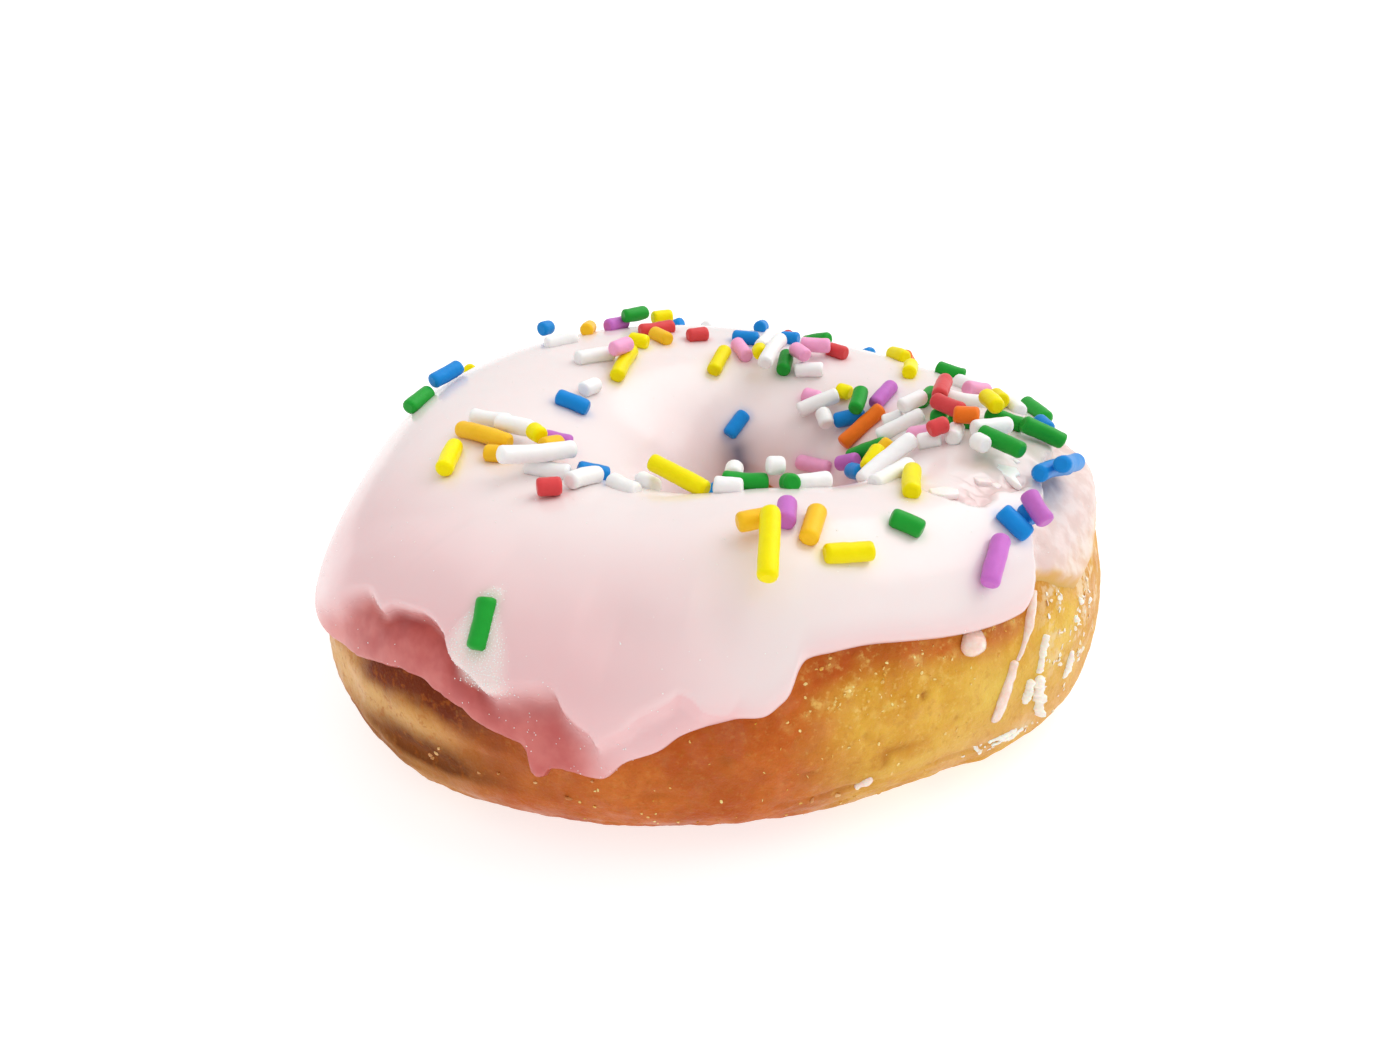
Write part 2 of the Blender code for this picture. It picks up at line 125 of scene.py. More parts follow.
# The icing: its edges, the lip of its upper layer, and where it is thin and torn. Edges and lines give a turn
# for a bearing, and a swell is a bearing, a turn, half widths in degrees and a height.
ICING_GAP = 0.4
ICING_DEPTH = 1.6
ICING_SUNK = -0.15
RIM_WIDTH = 5.5
DRAWN_WIDTH = 18
CALMED = 5
OUTER_EDGE = {
    4: 42, 20: 38, 42: 26, 62: 21, 82: 28, 100: 33, 120: 26, 142: 17, 160: 19, 182: 12,
    198: 9.5, 203: 10.5, 208: 13, 214: 16, 221: 20.5, 224.5: 20.5, 230: 17, 235: 13, 239: 11, 240.4: 9,
    240.9: 3.4, 242.2: 3.2, 242.8: 5.4, 245.5: 5.6, 248: 4.5, 250: 4.8, 252: 9, 256.5: 13, 259: 17,
    262: 19.5, 266: 21.5, 270: 21.5, 272: 24, 273.5: 27, 274.7: 33, 276: 36, 280: 37, 286: 37.5, 293: 36,
    302: 33.7, 310: 33, 316: 34, 319: 36, 321: 40, 325: 38, 330: 31, 333: 28, 346: 34,
}
INNER_EDGE = {0: 157, 50: 163, 95: 156, 140: 165, 190: 158, 235: 152, 280: 158, 325: 151}
LIP_LINE = {
    200: 20, 208: 28.5, 209.5: 31, 212: 35.5, 214: 38, 217.5: 36, 219: 39, 222: 40.5, 224.5: 40.5, 228: 38,
    230: 32.5, 232: 30.5, 234.5: 28, 236.5: 26.5, 239: 28.5, 242: 30, 244: 30.5, 245.5: 26, 247.5: 22.5,
    249: 20, 249.8: 17.5, 251: 19, 253: 21.5, 254.5: 24.5, 256.5: 27, 258: 29, 259: 31, 260.5: 29.5,
    262.5: 26, 265: 25, 267: 30,
}
ICING_RELIEF = ((11.0, 0.10), (3.0, 0.02))
THINNEST_ICING = 0.12
LIP_RISE = 0.8
LIP_SINK = 0.9
SMEAR_SINK = 1.0
SMEAR_ROUGHNESS = 0.17
TEAR_SINK = 0.60
TEAR_ROUGHNESS = 0.40
LIP_WINDOW = (198, 210, 256, 270)
SHARP_LIP_WINDOW = (206, 219, 234, 241)
SOFTER_LIP_WINDOW = (236, 244, 262, 270)
SHARP_BAND_WINDOW = (206, 219, 232, 239)
ROSE_WINDOW = (196, 204, 245, 254)
# Where the band is painted darker as shade under the lip.
CRIMSON_AND_SHADE_WINDOW = (206, 214, 244, 252)
RAGGED_WINDOW = (200, 212, 243, 252)
# Where the icing is painted deeper pink as shade.
PINK_SHADE_WINDOW = (170, 205, 246, 276)
PINK_SHADE_LOBE_WINDOW = (246, 252, 262, 268)
SPARKLING_WINDOW = (225, 238, 250, 262)
ICING_SWELLS = (
    (250, 45, 14, 9, -0.4),
    (78, 140, 26, 12, 0.9),
    (46, 128, 7, 16, -0.8),
    (262, 30, 8, 8, 0.3),
    (357, 49, 12, 8, 1.1),
    (190, 30, 22, 26, -0.9),
)
THICK_EDGE = {
    300: 20, 314: 31, 318: 40, 321.5: 48.5, 325.5: 57, 330: 62, 336: 65, 342: 68, 348: 70,
    0: 62, 12: 48, 24: 30, 60: 20, 150: 10, 240: 10,
}
SMEAR_WINDOW = (315, 319, 10, 30)
TEAR_LINE = {
    290: 95, 312: 88, 316: 80, 319: 74.5, 324: 74, 328: 76, 332: 71, 337: 70, 343: 72, 350: 84,
    20: 95, 180: 95,
}
TEAR_WINDOW = (313, 317, 338, 347)
SUGARY_DROP = (232, 51, 234.5, 28)
ICING_ROUND_STEPS = 560
ICING_RIM_STEPS = 9
ICING_TOP_STEPS = 110
ICING_FOOT_STEPS = 14

# Sprinkles, as in the solid model.
SPRINKLE_THICKNESS = 1.8
SPRINKLE_PRESSED = 0.35
SPRINKLE_OVERHANG = 0.36
SPRINKLE_CROWDING = 0.9
SHORTEST_SPRINKLE = 1.0
HIGHEST_LIFT = 4.0
LIFT_STEP = 0.1
EYE = (-0.65, -107.0, 72.5)

# Each sprinkle, one by one: colour, bearing and turn of one end and of the other, and where it leans on
# something, how much higher each end lies. The lower ones come first.
LEFT_SHOULDER = (
    ("green", 172.5, 57, 166, 59),
    ("blue", 165.5, 61, 159, 65),
    ("yellow", 193, 80.5, 202, 76),
    ("white", 183, 83, 187, 93),
    ("white", 186, 90, 190, 99),
    ("amber", 187.5, 81, 197, 93),
    ("yellow", 189, 99, 193, 101.5),
    ("amber", 198.5, 87.5, 200.5, 91),
    ("purple", 193, 102, 195, 110),
    ("amber", 198, 101, 194.5, 107),
    ("blue", 210.5, 106, 214, 114),
    ("white", 206, 94, 213, 102),
    ("white", 201.5, 90, 198, 110),
    ("white", 218, 98, 215, 110),
    ("red", 217, 90, 219, 94.8),
    ("blue", 170, 102.5, 171, 113),
    ("white", 162, 108, 154.5, 109.5),
    ("green", 231, 50.5, 233, 36),
)
NEAR_RIM = (
    ("white", 220, 110, 231, 109),
    ("white", 221, 120, 231, 117),
    ("yellow", 229, 115, 252, 111, 1.8, 0.5),
    ("white", 258, 120, 257, 126, 1, 3),
    ("white", 255, 107, 264, 107),
    ("green", 256.5, 112, 272, 112),
    ("white", 273, 111, 276.5, 111),
    ("green", 278.5, 110, 279.5, 104),
    ("white", 282, 112, 296, 111),
)
HEAP = (
    ("pink", 57, 146, 31, 143.5),
    ("green", 18, 136, 4, 123),
    ("purple", 25, 140, 13, 135),
    ("blue", 7, 139, 352, 134),
    ("yellow", 352, 132, 3, 126),
    ("amber", 358, 128, 2, 121),
    ("blue", 46, 126, 35.5, 118),
    ("green", 40.5, 118.5, 46, 108),
    ("yellow", 54, 112, 48, 112),
    ("pink", 67, 119, 58, 119),
    ("white", 66, 127, 52, 115),
    ("white", 55, 124, 48, 129),
    ("purple", 35, 113, 39, 99.5),
    ("green", 22, 103, 27, 93),
    ("yellow", 13, 101, 10, 98),
    ("green", 8, 104, 6, 100),
    ("white", 25, 108, 26, 98),
    ("white", 22, 118, 19, 111),
    ("white", 13, 124, 12, 106),
    ("orange", 31.5, 133.5, 30, 113),
    ("pink", 359.5, 114.5, 356, 105),
    ("white", 350.5, 111, 350.5, 103),
    ("red", 358, 107, 0, 101),
    ("white", 357, 98, 349, 99),
    ("white", 333, 129, 355, 113),
    ("white", 311, 107, 331, 107.5),
    ("yellow", 324, 102, 310, 89),
)
FRONT = (
    ("purple", 275.5, 91, 274, 80.5),
    ("amber", 264.5, 82, 272, 84.5),
    ("yellow", 271, 85, 270, 60),
    ("amber", 281.7, 85.5, 277.8, 73),
    ("yellow", 280.5, 68, 289.5, 66),
    ("green", 298, 79, 302.3, 70.5),
    ("purple", 317, 60, 308.7, 47),
    ("blue", 328, 66, 326, 60),
    ("blue", 322, 69, 322.5, 57),
    ("purple", 332, 68.5, 328.5, 57.5),
    ("blue", 339, 70, 350.5, 60.5),
    ("blue", 348, 64, 356, 55.5),
)
RIGHT_SHOULDER = (
    ("green", 5, 88, 0, 77),
    ("green", 1, 77, 0, 61),
    ("green", 2, 100, 0, 92),
    ("orange", 7, 97, 5, 90),
    ("white", 355, 93, 359, 82),
    ("green", 353, 91, 346, 78),
    ("white", 349, 92, 346, 89),
    ("white", 33, 76, 24, 74),
    ("white", 20, 72, 12, 71),
    ("green", 18, 64, 9, 63),
    ("blue", 8, 67, 4, 65),
    ("yellow", 24, 70, 19, 72),
    ("white", 22, 93, 15, 83),
    ("yellow", 20, 79, 13, 80),
    ("pink", 27, 80, 27, 69),
    ("green", 41, 73, 35, 68),
    ("red", 21, 97, 11, 93),
    ("red", 33, 82, 24, 93),
)
FAR_CREST = (
    ("yellow", 54.5, 70, 48.5, 76),
    ("yellow", 46.5, 77, 41.5, 88),
    ("red", 68, 86, 62, 88),
    ("blue", 138, 68, 135, 66, 1, 1),
    ("amber", 132, 80, 128, 72),
    ("purple", 126, 78, 120, 74),
    ("green", 122, 79, 115.5, 76),
    ("red", 120, 85, 110.5, 83),
    ("yellow", 114, 76, 109, 75, 0.5, 0.5),
    ("amber", 118, 89, 116, 96),
    ("red", 109, 92, 103, 90.5),
    ("yellow", 130, 100, 146, 111),
    ("yellow", 126, 92, 123, 97),
    ("pink", 135, 97, 128, 95),
    ("white", 147, 95.5, 136, 99),
    ("white", 142, 77, 135, 80),
    ("yellow", 99.5, 103, 106.5, 116),
    ("blue", 95.5, 90, 88, 91),
    ("white", 84.5, 84, 87.5, 98),
    ("blue", 88, 80, 87, 74),
    ("yellow", 88, 98, 87, 103),
    ("pink", 76, 86, 68, 84),
    ("white", 81.5, 90, 85.5, 109),
    ("blue", 82, 84, 77, 84),
    ("pink", 95, 96, 92, 106),
    ("green", 78.5, 99, 78, 111),
    ("pink", 77, 93, 72, 98),
    ("white", 74, 108, 64, 104),
    ("blue", 94.5, 133, 106, 142),
)
PLACED_BY_EYE = LEFT_SHOULDER + NEAR_RIM + HEAP + FRONT + RIGHT_SHOULDER + FAR_CREST

# Sprinkles strewn by rule: middle bearing and turn of a patch, its half widths, and how many are tried.
HEAP_PATCH = (20, 108, 14, 16, 12)
UNSEEN_PATCHES = (
    (65, 42, 85, 26, 190),
    (262, 130, 55, 12, 14),
    (170, 40, 30, 16, 14),
)
STREWN_COLOURS = ("white",) * 8 + ("green",) * 4 + ("blue",) * 4 + ("pink",) * 4 + ("yellow",) * 3
STREWN_COLOURS += ("orange",) * 3 + ("purple",) * 3 + ("red",) * 2
STREWN_LENGTHS = (3.0, 6.8)
STREWN_LIFT = 1.3
STREWN_SEED = 7
HIDDEN_BELOW = -0.25

# Linear colours of the sugar rods, and the slot of the one that the record has no slot for.
ROD_COLOURS = {
    "white": (0.98, 0.975, 0.96),
    "yellow": (0.95, 0.80, 0.0),
    "green": (0.016, 0.34, 0.035),
    "blue": (0.010, 0.25, 0.68),
    "orange": (0.84, 0.18, 0.015),
    "amber": (0.94, 0.54, 0.02),
    "red": (0.68, 0.065, 0.07),
    "pink": (0.94, 0.40, 0.64),
    "purple": (0.56, 0.16, 0.56),
}
ROD_SLOTS = {"amber": "orange"}

# The rods' form: how blunt their ends are, how fine their mesh is, and how uneven and bent the rods are.
ROD_END_LENGTH = 0.42
ROD_BLUNT_SHARE = 0.60
ROD_SIDES = 16
ROD_STEPS = 19
ROD_UNEVENNESS = 0.22
ROD_LUMP_SIZE = 1.9
ROD_MOST_SAG = 0.045
ROD_SEED = 31

# How strongly each dye bleeds into the icing, and how far.
DYE_BLEED = {
    "white": 0.0, "yellow": 0.30, "green": 0.16, "blue": 0.20, "orange": 0.30, "amber": 0.30, "red": 0.28,
    "pink": 0.25, "purple": 0.18,
}
DYE_REACH = 0.40

# Stains of dye away from the rods, and painted shade in the hole: both ends (bearing, turn), reach in
# millimetres, strength, linear colour.
DYE_STAINS_AND_HOLE_SHADE = (
    ((321, 80), (333, 74), 0.9, 0.25, (0.72, 0.40, 0.40)),
    ((349, 76), (345, 70), 1.5, 0.42, (0.46, 0.40, 0.30)),
    ((343, 63), (338, 62), 1.2, 0.72, (0.10, 0.23, 0.38)),
    ((337, 60), (336, 58), 1.0, 0.35, (0.30, 0.42, 0.50)),
    ((334, 88), (336, 86), 0.9, 0.40, (0.56, 0.36, 0.22)),
    # In the hole: blue dye deepened by painted shade, then a brownish painted shadow.
    ((101, 147), (98, 158), 1.5, 0.85, (0.05, 0.06, 0.14)),
    ((110, 150), (114, 162), 1.6, 0.45, (0.48, 0.26, 0.22)),
)

# Runs of thin glaze on the dough: bearing, turn, half width and height of each stop.
SOFT_RUNS = (
    ((307.2, 34, 1.3, 0.5), (306.8, 30.5, 1.45, 1.0), (306.3, 27, 1.4, 1.15), (306, 24.5, 0.9, 0.8)),
    (
        (321.5, 39, 0.35, 0.35), (320, 34, 0.5, 0.45), (318.6, 28.5, 0.55, 0.5), (317, 23, 0.3, 0.3),
        (315.2, 17.5, 0.25, 0.25),
    ),
    ((287.8, -6.5, 0.3, 0.3), (286.6, -9.5, 0.5, 0.45), (285.2, -13, 0.3, 0.3)),
    ((314.3, 18.5, 0.42, 0.5), (313.7, 12, 0.62, 0.45), (312.6, 5.5, 0.85, 0.4), (311.2, 0, 0.7, 0.3)),
)
DRIED_RUNS = (
    ((322, 22, 0.25, 0.4), (321.2, 18, 0.36, 0.55), (320.6, 14, 0.22, 0.4), (320.4, 9.5, 0.30, 0.45)),
    ((318.4, 9, 0.35, 0.5), (318, 5.5, 0.42, 0.6), (317.6, 1.5, 0.28, 0.4)),
    ((320.4, 8.5, 0.5, 0.7), (320.6, 4, 0.62, 0.8), (321.6, -1, 0.5, 0.7), (322.4, -6, 0.42, 0.5)),
    ((330.6, 21, 0.3, 0.4), (330.8, 18.5, 0.36, 0.4)),
    ((330, 9, 0.45, 0.35), (329, 5, 0.5, 0.4), (328.2, 1, 0.3, 0.3)),
    ((333.5, 25, 0.3, 0.3), (333.8, 22, 0.32, 0.3)),
    ((311, -9.5, 0.15, 0.15), (314, -9, 0.3, 0.25), (317, -8, 0.2, 0.2)),
    ((312, -13.5, 0.15, 0.15), (315.5, -13, 0.3, 0.22), (319, -11, 0.2, 0.2)),
    ((318.3, 40.5, 0.3, 0.5), (318.1, 38, 0.34, 0.6)),
)
RUN_STEPS = 40
RUN_SIDES = 14
RUN_SUNK = 0.35

# Broken bits beside the torn place: bearing and turn of the middle, height of the top over the dough, which
# way it leans, how white it is, and its corners in millimetres to the right and away.
BROKEN_BITS = (
    (336.5, 78, 1.85, (0.0, -0.04), 1.0,
     ((-1.4, 1.6), (1.2, 1.7), (1.3, 0.4), (0.5, -0.3), (0.8, -2.3), (0.3, -2.1), (-0.45, -0.7),
      (-1.3, 0.4))),
    (331.5, 85.5, 1.75, (-0.06, -0.05), 0.25,
     ((-1.1, 1.5), (0.4, 1.7), (1.0, 0.4), (1.1, -1.3), (-0.4, -1.7), (-1.0, -0.2))),
    (317, 85, 2.12, (0.02, -0.02), 0.45,
     ((-1.5, 0.3), (0.1, 1.0), (1.4, 0.6), (1.3, -0.5), (-0.3, -1.0), (-1.3, -0.6))),
    (330.5, 79, 1.6, (0.1, 0.05), 0.35,
     ((-0.5, 0.3), (0.3, 0.6), (0.7, -0.1), (0.1, -0.6))),
    (343, 78.5, 1.85, (-0.1, 0.05), 0.6,
     ((-0.5, 0.2), (0.1, 0.5), (0.6, -0.2), (-0.1, -0.5))),
)
BIT_THICKNESS = 0.7
BIT_ROUNDING = 0.2
BIT_WEAR = 0.12
BIT_WEAR_SIZE = 1.1
BITS_FACE = (335, 80)

# Small pieces strewn over a surface: name, slot, mask, number on a square millimetre, seed, fineness,
# smallest and largest size, how broken, and the name, both colours and the roughness of its grains.
STREWN_ON_DOUGH = (
    ("crust_crystals", "sugar_glaze", "crystalled", 5.0, 4, 1, (0.08, 0.08, 0.05), (0.52, 0.42, 0.28), 0.20,
     ("crust crystal", (0.72, 0.36, 0.04), (0.93, 0.72, 0.27), 0.08)),
    ("glaze_flakes", "sugar_glaze", "flaked", 2.4, 11, 2, (0.15, 0.15, 0.08), (0.85, 0.65, 0.22), 0.34,
     ("flake of glaze", (0.88, 0.72, 0.52), (0.94, 0.89, 0.82), 0.4)),
    ("crumbs", "fried_dough", "crumbed", 0.9, 23, 2, (0.25, 0.20, 0.15), (0.95, 0.60, 0.40), 0.40,
     ("crumb", (0.50, 0.18, 0.03), (0.80, 0.46, 0.18), 0.35)),
)
STREWN_ON_ICING = (
    ("sugar_sparks", "sugar_glaze", "sparkling", 6.0, 8, 1, (0.06, 0.06, 0.05), (0.19, 0.17, 0.13), 0.05,
     ("spark of sugar", (0.93, 0.88, 0.84), (0.96, 0.95, 0.93), 0.06)),
)
BREAK_SIZE = 0.45

# Light: direction, strength, spread in degrees and colour of each wide lamp, and how bright the rest is.
LAMPS = {
    "key light": ((0.42, 0.20, 0.50), 1.35, 55, (1.0, 0.99, 0.97)),
    "top light": ((0.05, 0.15, 0.75), 0.3, 90, (1, 1, 1)),
}
SURROUNDINGS_STRENGTH = 0.77
FLOOR_COLOUR = (0.46, 0.44, 0.44, 1)
FLOOR_GLOW = (1, 0.99, 0.985, 1)
FLOOR_GLOW_STRENGTH = 0.72
FLOOR_SIZE = 6

# The fitted camera: what it aims at, how far in pixels that shows from the middle of the picture, how far the
# camera stands, and how it is turned.
FRAME_WIDTH = 1400
FOCAL_PIXELS = 1053
SENSOR_WIDTH = 36
AIM = Vector((-0.65, -2.8, 15.0)) * MM
CAMERA_DISTANCE = 119 * MM
CAMERA_ELEVATION = radians(28.9)
AIM_RIGHT_OF_MIDDLE = 14.7
AIM_BELOW_MIDDLE = 6.0
CAMERA_PAN = atan(AIM_RIGHT_OF_MIDDLE / FOCAL_PIXELS)
CAMERA_TILT = atan(AIM_BELOW_MIDDLE / FOCAL_PIXELS)
CAMERA_ROLL = radians(0.9)


def around(stations, bearing):
    """A smooth closed curve through values given at some bearings."""
    keys = sorted(stations)
    count = len(keys)
    at = bearing % 360
    start = max((i for i in range(count) if keys[i] <= at), default=count - 1)
    before, here, there, after = (keys[(start + step) % count] for step in (-1, 0, 1, 2))

    def ahead(first, second):
        return (second - first) % 360 or 360

    span = ahead(here, there)
    share = ((at - here) % 360) / span
    slope_here = (stations[there] - stations[before]) / (ahead(before, here) + span) * span
    slope_there = (stations[after] - stations[here]) / (span + ahead(there, after)) * span
    cube, square = share ** 3, share ** 2
    return (
        (2 * cube - 3 * square + 1) * stations[here]
        + (cube - 2 * square + share) * slope_here
        + (3 * square - 2 * cube) * stations[there]
        + (cube - square) * slope_there
    )


def bowed(value, power):
    return abs(value) ** power * (1 if value >= 0 else -1)


class Station:
    """The ring at one bearing: what stays the same all round its section is worked out once."""

    def __init__(self, bearing):
        self.bearing = bearing
        self.outer, self.crest = around(OUTER_REACH, bearing), around(CREST_HEIGHT, bearing)
        self.foot = around(FOOT_ROUNDNESS, bearing)
        self.along = Vector((cos(radians(bearing)), sin(radians(bearing)), 0))

    def section(self, turn):
        """Distance from the hole's axis and height of the dough's skin."""
        middle, half = (self.outer + HOLE_REACH) / 2, (self.outer - HOLE_REACH) / 2
        across, up = cos(radians(turn)), sin(radians(turn))
        power = ROUND_TOP if up >= 0 else self.foot
        rise = (self.crest - BELLY_HEIGHT) if up >= 0 else BELLY_HEIGHT * FOOT_PRESSED
        return middle + half * bowed(across, power), max(BELLY_HEIGHT + rise * bowed(up, power), 0.0)

    def outward(self, turn):
        """Direction away from the dough's skin: along the reach and upwards."""
        step = 0.5
        first, second = self.section(turn - step), self.section(turn + step)
        along, up = second[0] - first[0], second[1] - first[1]
        size = hypot(along, up)
        return up / size, -along / size

    def over_dough(self, turn, depth=0.0):
        """A point a given height away from the dough's skin."""
        reach, height = self.section(turn)
        out, up = self.outward(turn)
        point = self.along * (reach + out * depth)
        return Vector((HOLE_AXIS[0] + point.x, HOLE_AXIS[1] + point.y, height + up * depth)) * MM

    def facing(self, turn):
        out, up = self.outward(turn)
        return self.along * out + Vector((0, 0, up))


def over_dough(bearing, turn, depth=0.0):
    return Station(bearing).over_dough(turn, depth)


def facing(bearing, turn):
    return Station(bearing).facing(turn)


def eased(low, high, value):
    share = min(max((value - low) / (high - low), 0.0), 1.0)
    return share * share * (3 - 2 * share)


def bearing_between(first, second):
    return (second - first + 180) % 360 - 180


def window(bearing, opens, open_from, open_to, shuts):
    """1 between two bearings, with soft ends, going round the ring from the first to the last."""
    middle = opens + ((shuts - opens) % 360) / 2
    at = bearing_between(middle, bearing)
    rising = eased(bearing_between(middle, opens), bearing_between(middle, open_from), at)
    return rising * (1 - eased(bearing_between(middle, open_to), bearing_between(middle, shuts), at))


def hill(bearing, turn, at_bearing, at_turn, wide, tall):
    aside = bearing_between(at_bearing, bearing) / wide
    above = (turn - at_turn) / tall
    return exp(-(aside * aside + above * above))


def patched(bearing, turn, patches):
    """The sum of some patches at a place."""
    return sum(strength * hill(bearing, turn, *patch) for strength, *patch in patches)


def ripple(point, size, octaves=3):
    """Smooth noise from -1 to 1 over space, with lumps of about the given size in millimetres."""
    return noise.fractal(point / (size * MM), 1.0, 2.0, octaves) / 1.2


# Sprinkles' places, as in the solid model

def rods_apart(first, second):
    """Least distance between the middle lines of two sprinkles."""
    (a, b), (c, d) = first, second
    ab, cd, ca = b - a, d - c, a - c
    long_ab, long_cd, both = ab.dot(ab), cd.dot(cd), ab.dot(cd)
    on_ab, on_cd = ab.dot(ca), cd.dot(ca)
    parting = long_ab * long_cd - both * both
    share = min(max((both * on_cd - long_cd * on_ab) / parting, 0), 1) if parting > 1e-16 else 0.5
    other = min(max((both * share + on_cd) / long_cd, 0), 1)
    share = min(max((both * other - on_ab) / long_ab, 0), 1)
    return ((a + ab * share) - (c + cd * other)).length


def lay_sprinkle(
    laid, colour, bearing, turn, end_bearing, end_turn, rise=0.0, end_rise=0.0, highest=HIGHEST_LIFT,
):
    """Lay one sprinkle on the icing, lifted until it clears those that lie there already."""
    middle_bearing = bearing + bearing_between(bearing, end_bearing) / 2
    middle_turn = (turn + end_turn) / 2
    up = facing(middle_bearing, middle_turn)
    depth = ICING_GAP + ICING_DEPTH
    one_end, other_end = over_dough(bearing, turn, depth), over_dough(end_bearing, end_turn, depth)
    length = (other_end - one_end).length
    along = other_end - one_end
    along = (along - up * along.dot(up)).normalized() * length + up * (end_rise - rise) * MM
    along.normalize()
    middle = (one_end + other_end) / 2
    middle += up * (over_dough(middle_bearing, middle_turn, depth) - middle).dot(up)
    sight = (Vector(EYE) * MM - middle).normalized()
    seen = up.dot(sight)
    lift_along = sight / max(seen, 0.3) if seen > 0.12 else up
    middle += up * (rise + end_rise) / 2 * MM
    half = along * max(length - 0.4 * SPRINKLE_THICKNESS * MM, SHORTEST_SPRINKLE * MM) / 2
    lift = SPRINKLE_THICKNESS / 2 - SPRINKLE_PRESSED
    nearest = SPRINKLE_THICKNESS * SPRINKLE_CROWDING * MM
    while lift < highest:
        centre = middle + lift_along * lift * MM
        rod = (centre - half, centre + half)
        if all(rods_apart(rod, other) > nearest for _, other in laid):
            laid.append((colour, rod))
            return
        lift += LIFT_STEP


def strew(laid, draw, patch, everywhere):
    """Lay a patch of sprinkles at random, each on the icing itself."""
    bearing, turn, wide, tall, count = patch
    for _ in range(count):
        at_bearing = bearing + draw.uniform(-wide, wide)
        at_turn = turn + draw.uniform(-tall, tall)
        heading = radians(draw.uniform(0, 180))
        length = draw.uniform(*STREWN_LENGTHS)
        colour = draw.choice(STREWN_COLOURS)
        station = Station(at_bearing)
        half_bearing = degrees(length * cos(heading) / station.section(at_turn)[0]) / 2
        half_turn = degrees(length * sin(heading) / SECTION_RADIUS) / 2
        middle = station.over_dough(at_turn)
        seen = station.facing(at_turn).dot((Vector(EYE) * MM - middle).normalized())
        on_icing = at_turn - abs(half_turn) > around(OUTER_EDGE, at_bearing) + RIM_WIDTH
        if on_icing and (everywhere or seen < HIDDEN_BELOW):
            lay_sprinkle(
                laid, colour, at_bearing - half_bearing, at_turn - half_turn,
                at_bearing + half_bearing, at_turn + half_turn, highest=STREWN_LIFT,
            )


def lay_sprinkles():
    laid = []
    for placed in PLACED_BY_EYE:
        lay_sprinkle(laid, *placed)
    draw = random.Random(STREWN_SEED)
    strew(laid, draw, HEAP_PATCH, True)
    for patch in UNSEEN_PATCHES:
        strew(laid, draw, patch, False)
    return laid


# Node trees

class Wire:
    """A socket that can stand in a sum or a product: each operation adds a Math node."""

    def __init__(self, tree, socket):
        self.tree = tree
        self.socket = socket

    def maths(self, operation, *values):
        return add_node(self.tree, "ShaderNodeMath", {"operation": operation}, values)

    def __add__(self, other):
        return self.maths("ADD", self, other)

    def __radd__(self, other):
        return self.maths("ADD", other, self)

    def __sub__(self, other):
        return self.maths("SUBTRACT", self, other)

    def __rsub__(self, other):
        return self.maths("SUBTRACT", other, self)

    def __mul__(self, other):
        return self.maths("MULTIPLY", self, other)

    def __rmul__(self, other):
        return self.maths("MULTIPLY", other, self)

    def __truediv__(self, other):
        return self.maths("DIVIDE", self, other)

    def __rtruediv__(self, other):
        return self.maths("DIVIDE", other, self)

    def __pow__(self, other):
        return self.maths("POWER", self, other)

    def at_most(self, other):
        return self.maths("MINIMUM", self, other)

    def at_least(self, other):
        return self.maths("MAXIMUM", self, other)


def add_node(tree, kind, settings=None, values=(), output=0):
    """Add a node: its settings first, then the values or links of its sockets, by place or by name."""
    node = tree.nodes.new(kind)
    for name, setting in (settings or {}).items():
        setattr(node, name, setting)
    named = values.items() if isinstance(values, dict) else enumerate(values)
    for name, value in named:
        socket = find_socket(node.inputs, name)
        if isinstance(value, Wire):
            tree.links.new(value.socket, socket)
        else:
            socket.default_value = value
    return Wire(tree, find_socket(node.outputs, output))


def find_socket(sockets, name):
    if isinstance(name, int):
        return sockets[name]
    known = {socket.identifier: socket for socket in sockets}
    return known[name] if name in known else sockets[name]


SHADER_SOCKETS = {"specular_ior_level": "Specular IOR Level"}


class Finish:
    """One material: its shader, and short ways to the patterns that feed it."""

    def __init__(self, name, **constants):
        self.material = bpy.data.materials.new(name)
        self.material.use_nodes = True
        self.tree = self.material.node_tree
        self.shader = self.tree.nodes["Principled BSDF"]
        for socket, value in constants.items():
            shown = SHADER_SOCKETS.get(socket, socket.replace("_", " ").title())
            self.shader.inputs[shown].default_value = value
        self.place = add_node(self.tree, "ShaderNodeTexCoord", output="Object")

    def feed(self, socket, wire):
        self.tree.links.new(wire.socket, self.shader.inputs[socket])

    def attribute(self, name, output="Fac"):
        return add_node(self.tree, "ShaderNodeAttribute", {"attribute_name": name}, output=output)

    def masks(self, names):
        return [self.attribute(name) for name in names.split()]

    def lumps(self, size, detail=2.0, roughness=0.5, distortion=0.0):
        """Noise from 0 to 1 with lumps of about the given size in millimetres."""
        return add_node(self.tree, "ShaderNodeTexNoise", values={
            "Vector": self.place, "Scale": 1 / (size * MM), "Detail": detail, "Roughness": roughness,
            "Distortion": distortion,
        })

    def between(self, low, high, wire):
        return add_node(self.tree, "ShaderNodeMapRange", {"interpolation_type": "SMOOTHSTEP"}, {
            "Value": wire, "From Min": low, "From Max": high,
        })

    def mix(self, share, first, second):
        values = {"Factor_Float": share, "A_Color": opaque(first), "B_Color": opaque(second)}
        return add_node(self.tree, "ShaderNodeMix", {"data_type": "RGBA"}, values, "Result_Color")

    def held(self, wire):
        """The same value, held between 0 and 1."""
        return wire.at_least(0.0).at_most(1.0)

    def bump(self, height, distance, strength=1.0, under=None):
        values = {"Height": height, "Distance": distance * MM, "Strength": strength}
        if under:
            values["Normal"] = under
        return add_node(self.tree, "ShaderNodeBump", values=values)


def opaque(colour):
    return colour if isinstance(colour, Wire) else (*colour, 1)


# Pieces

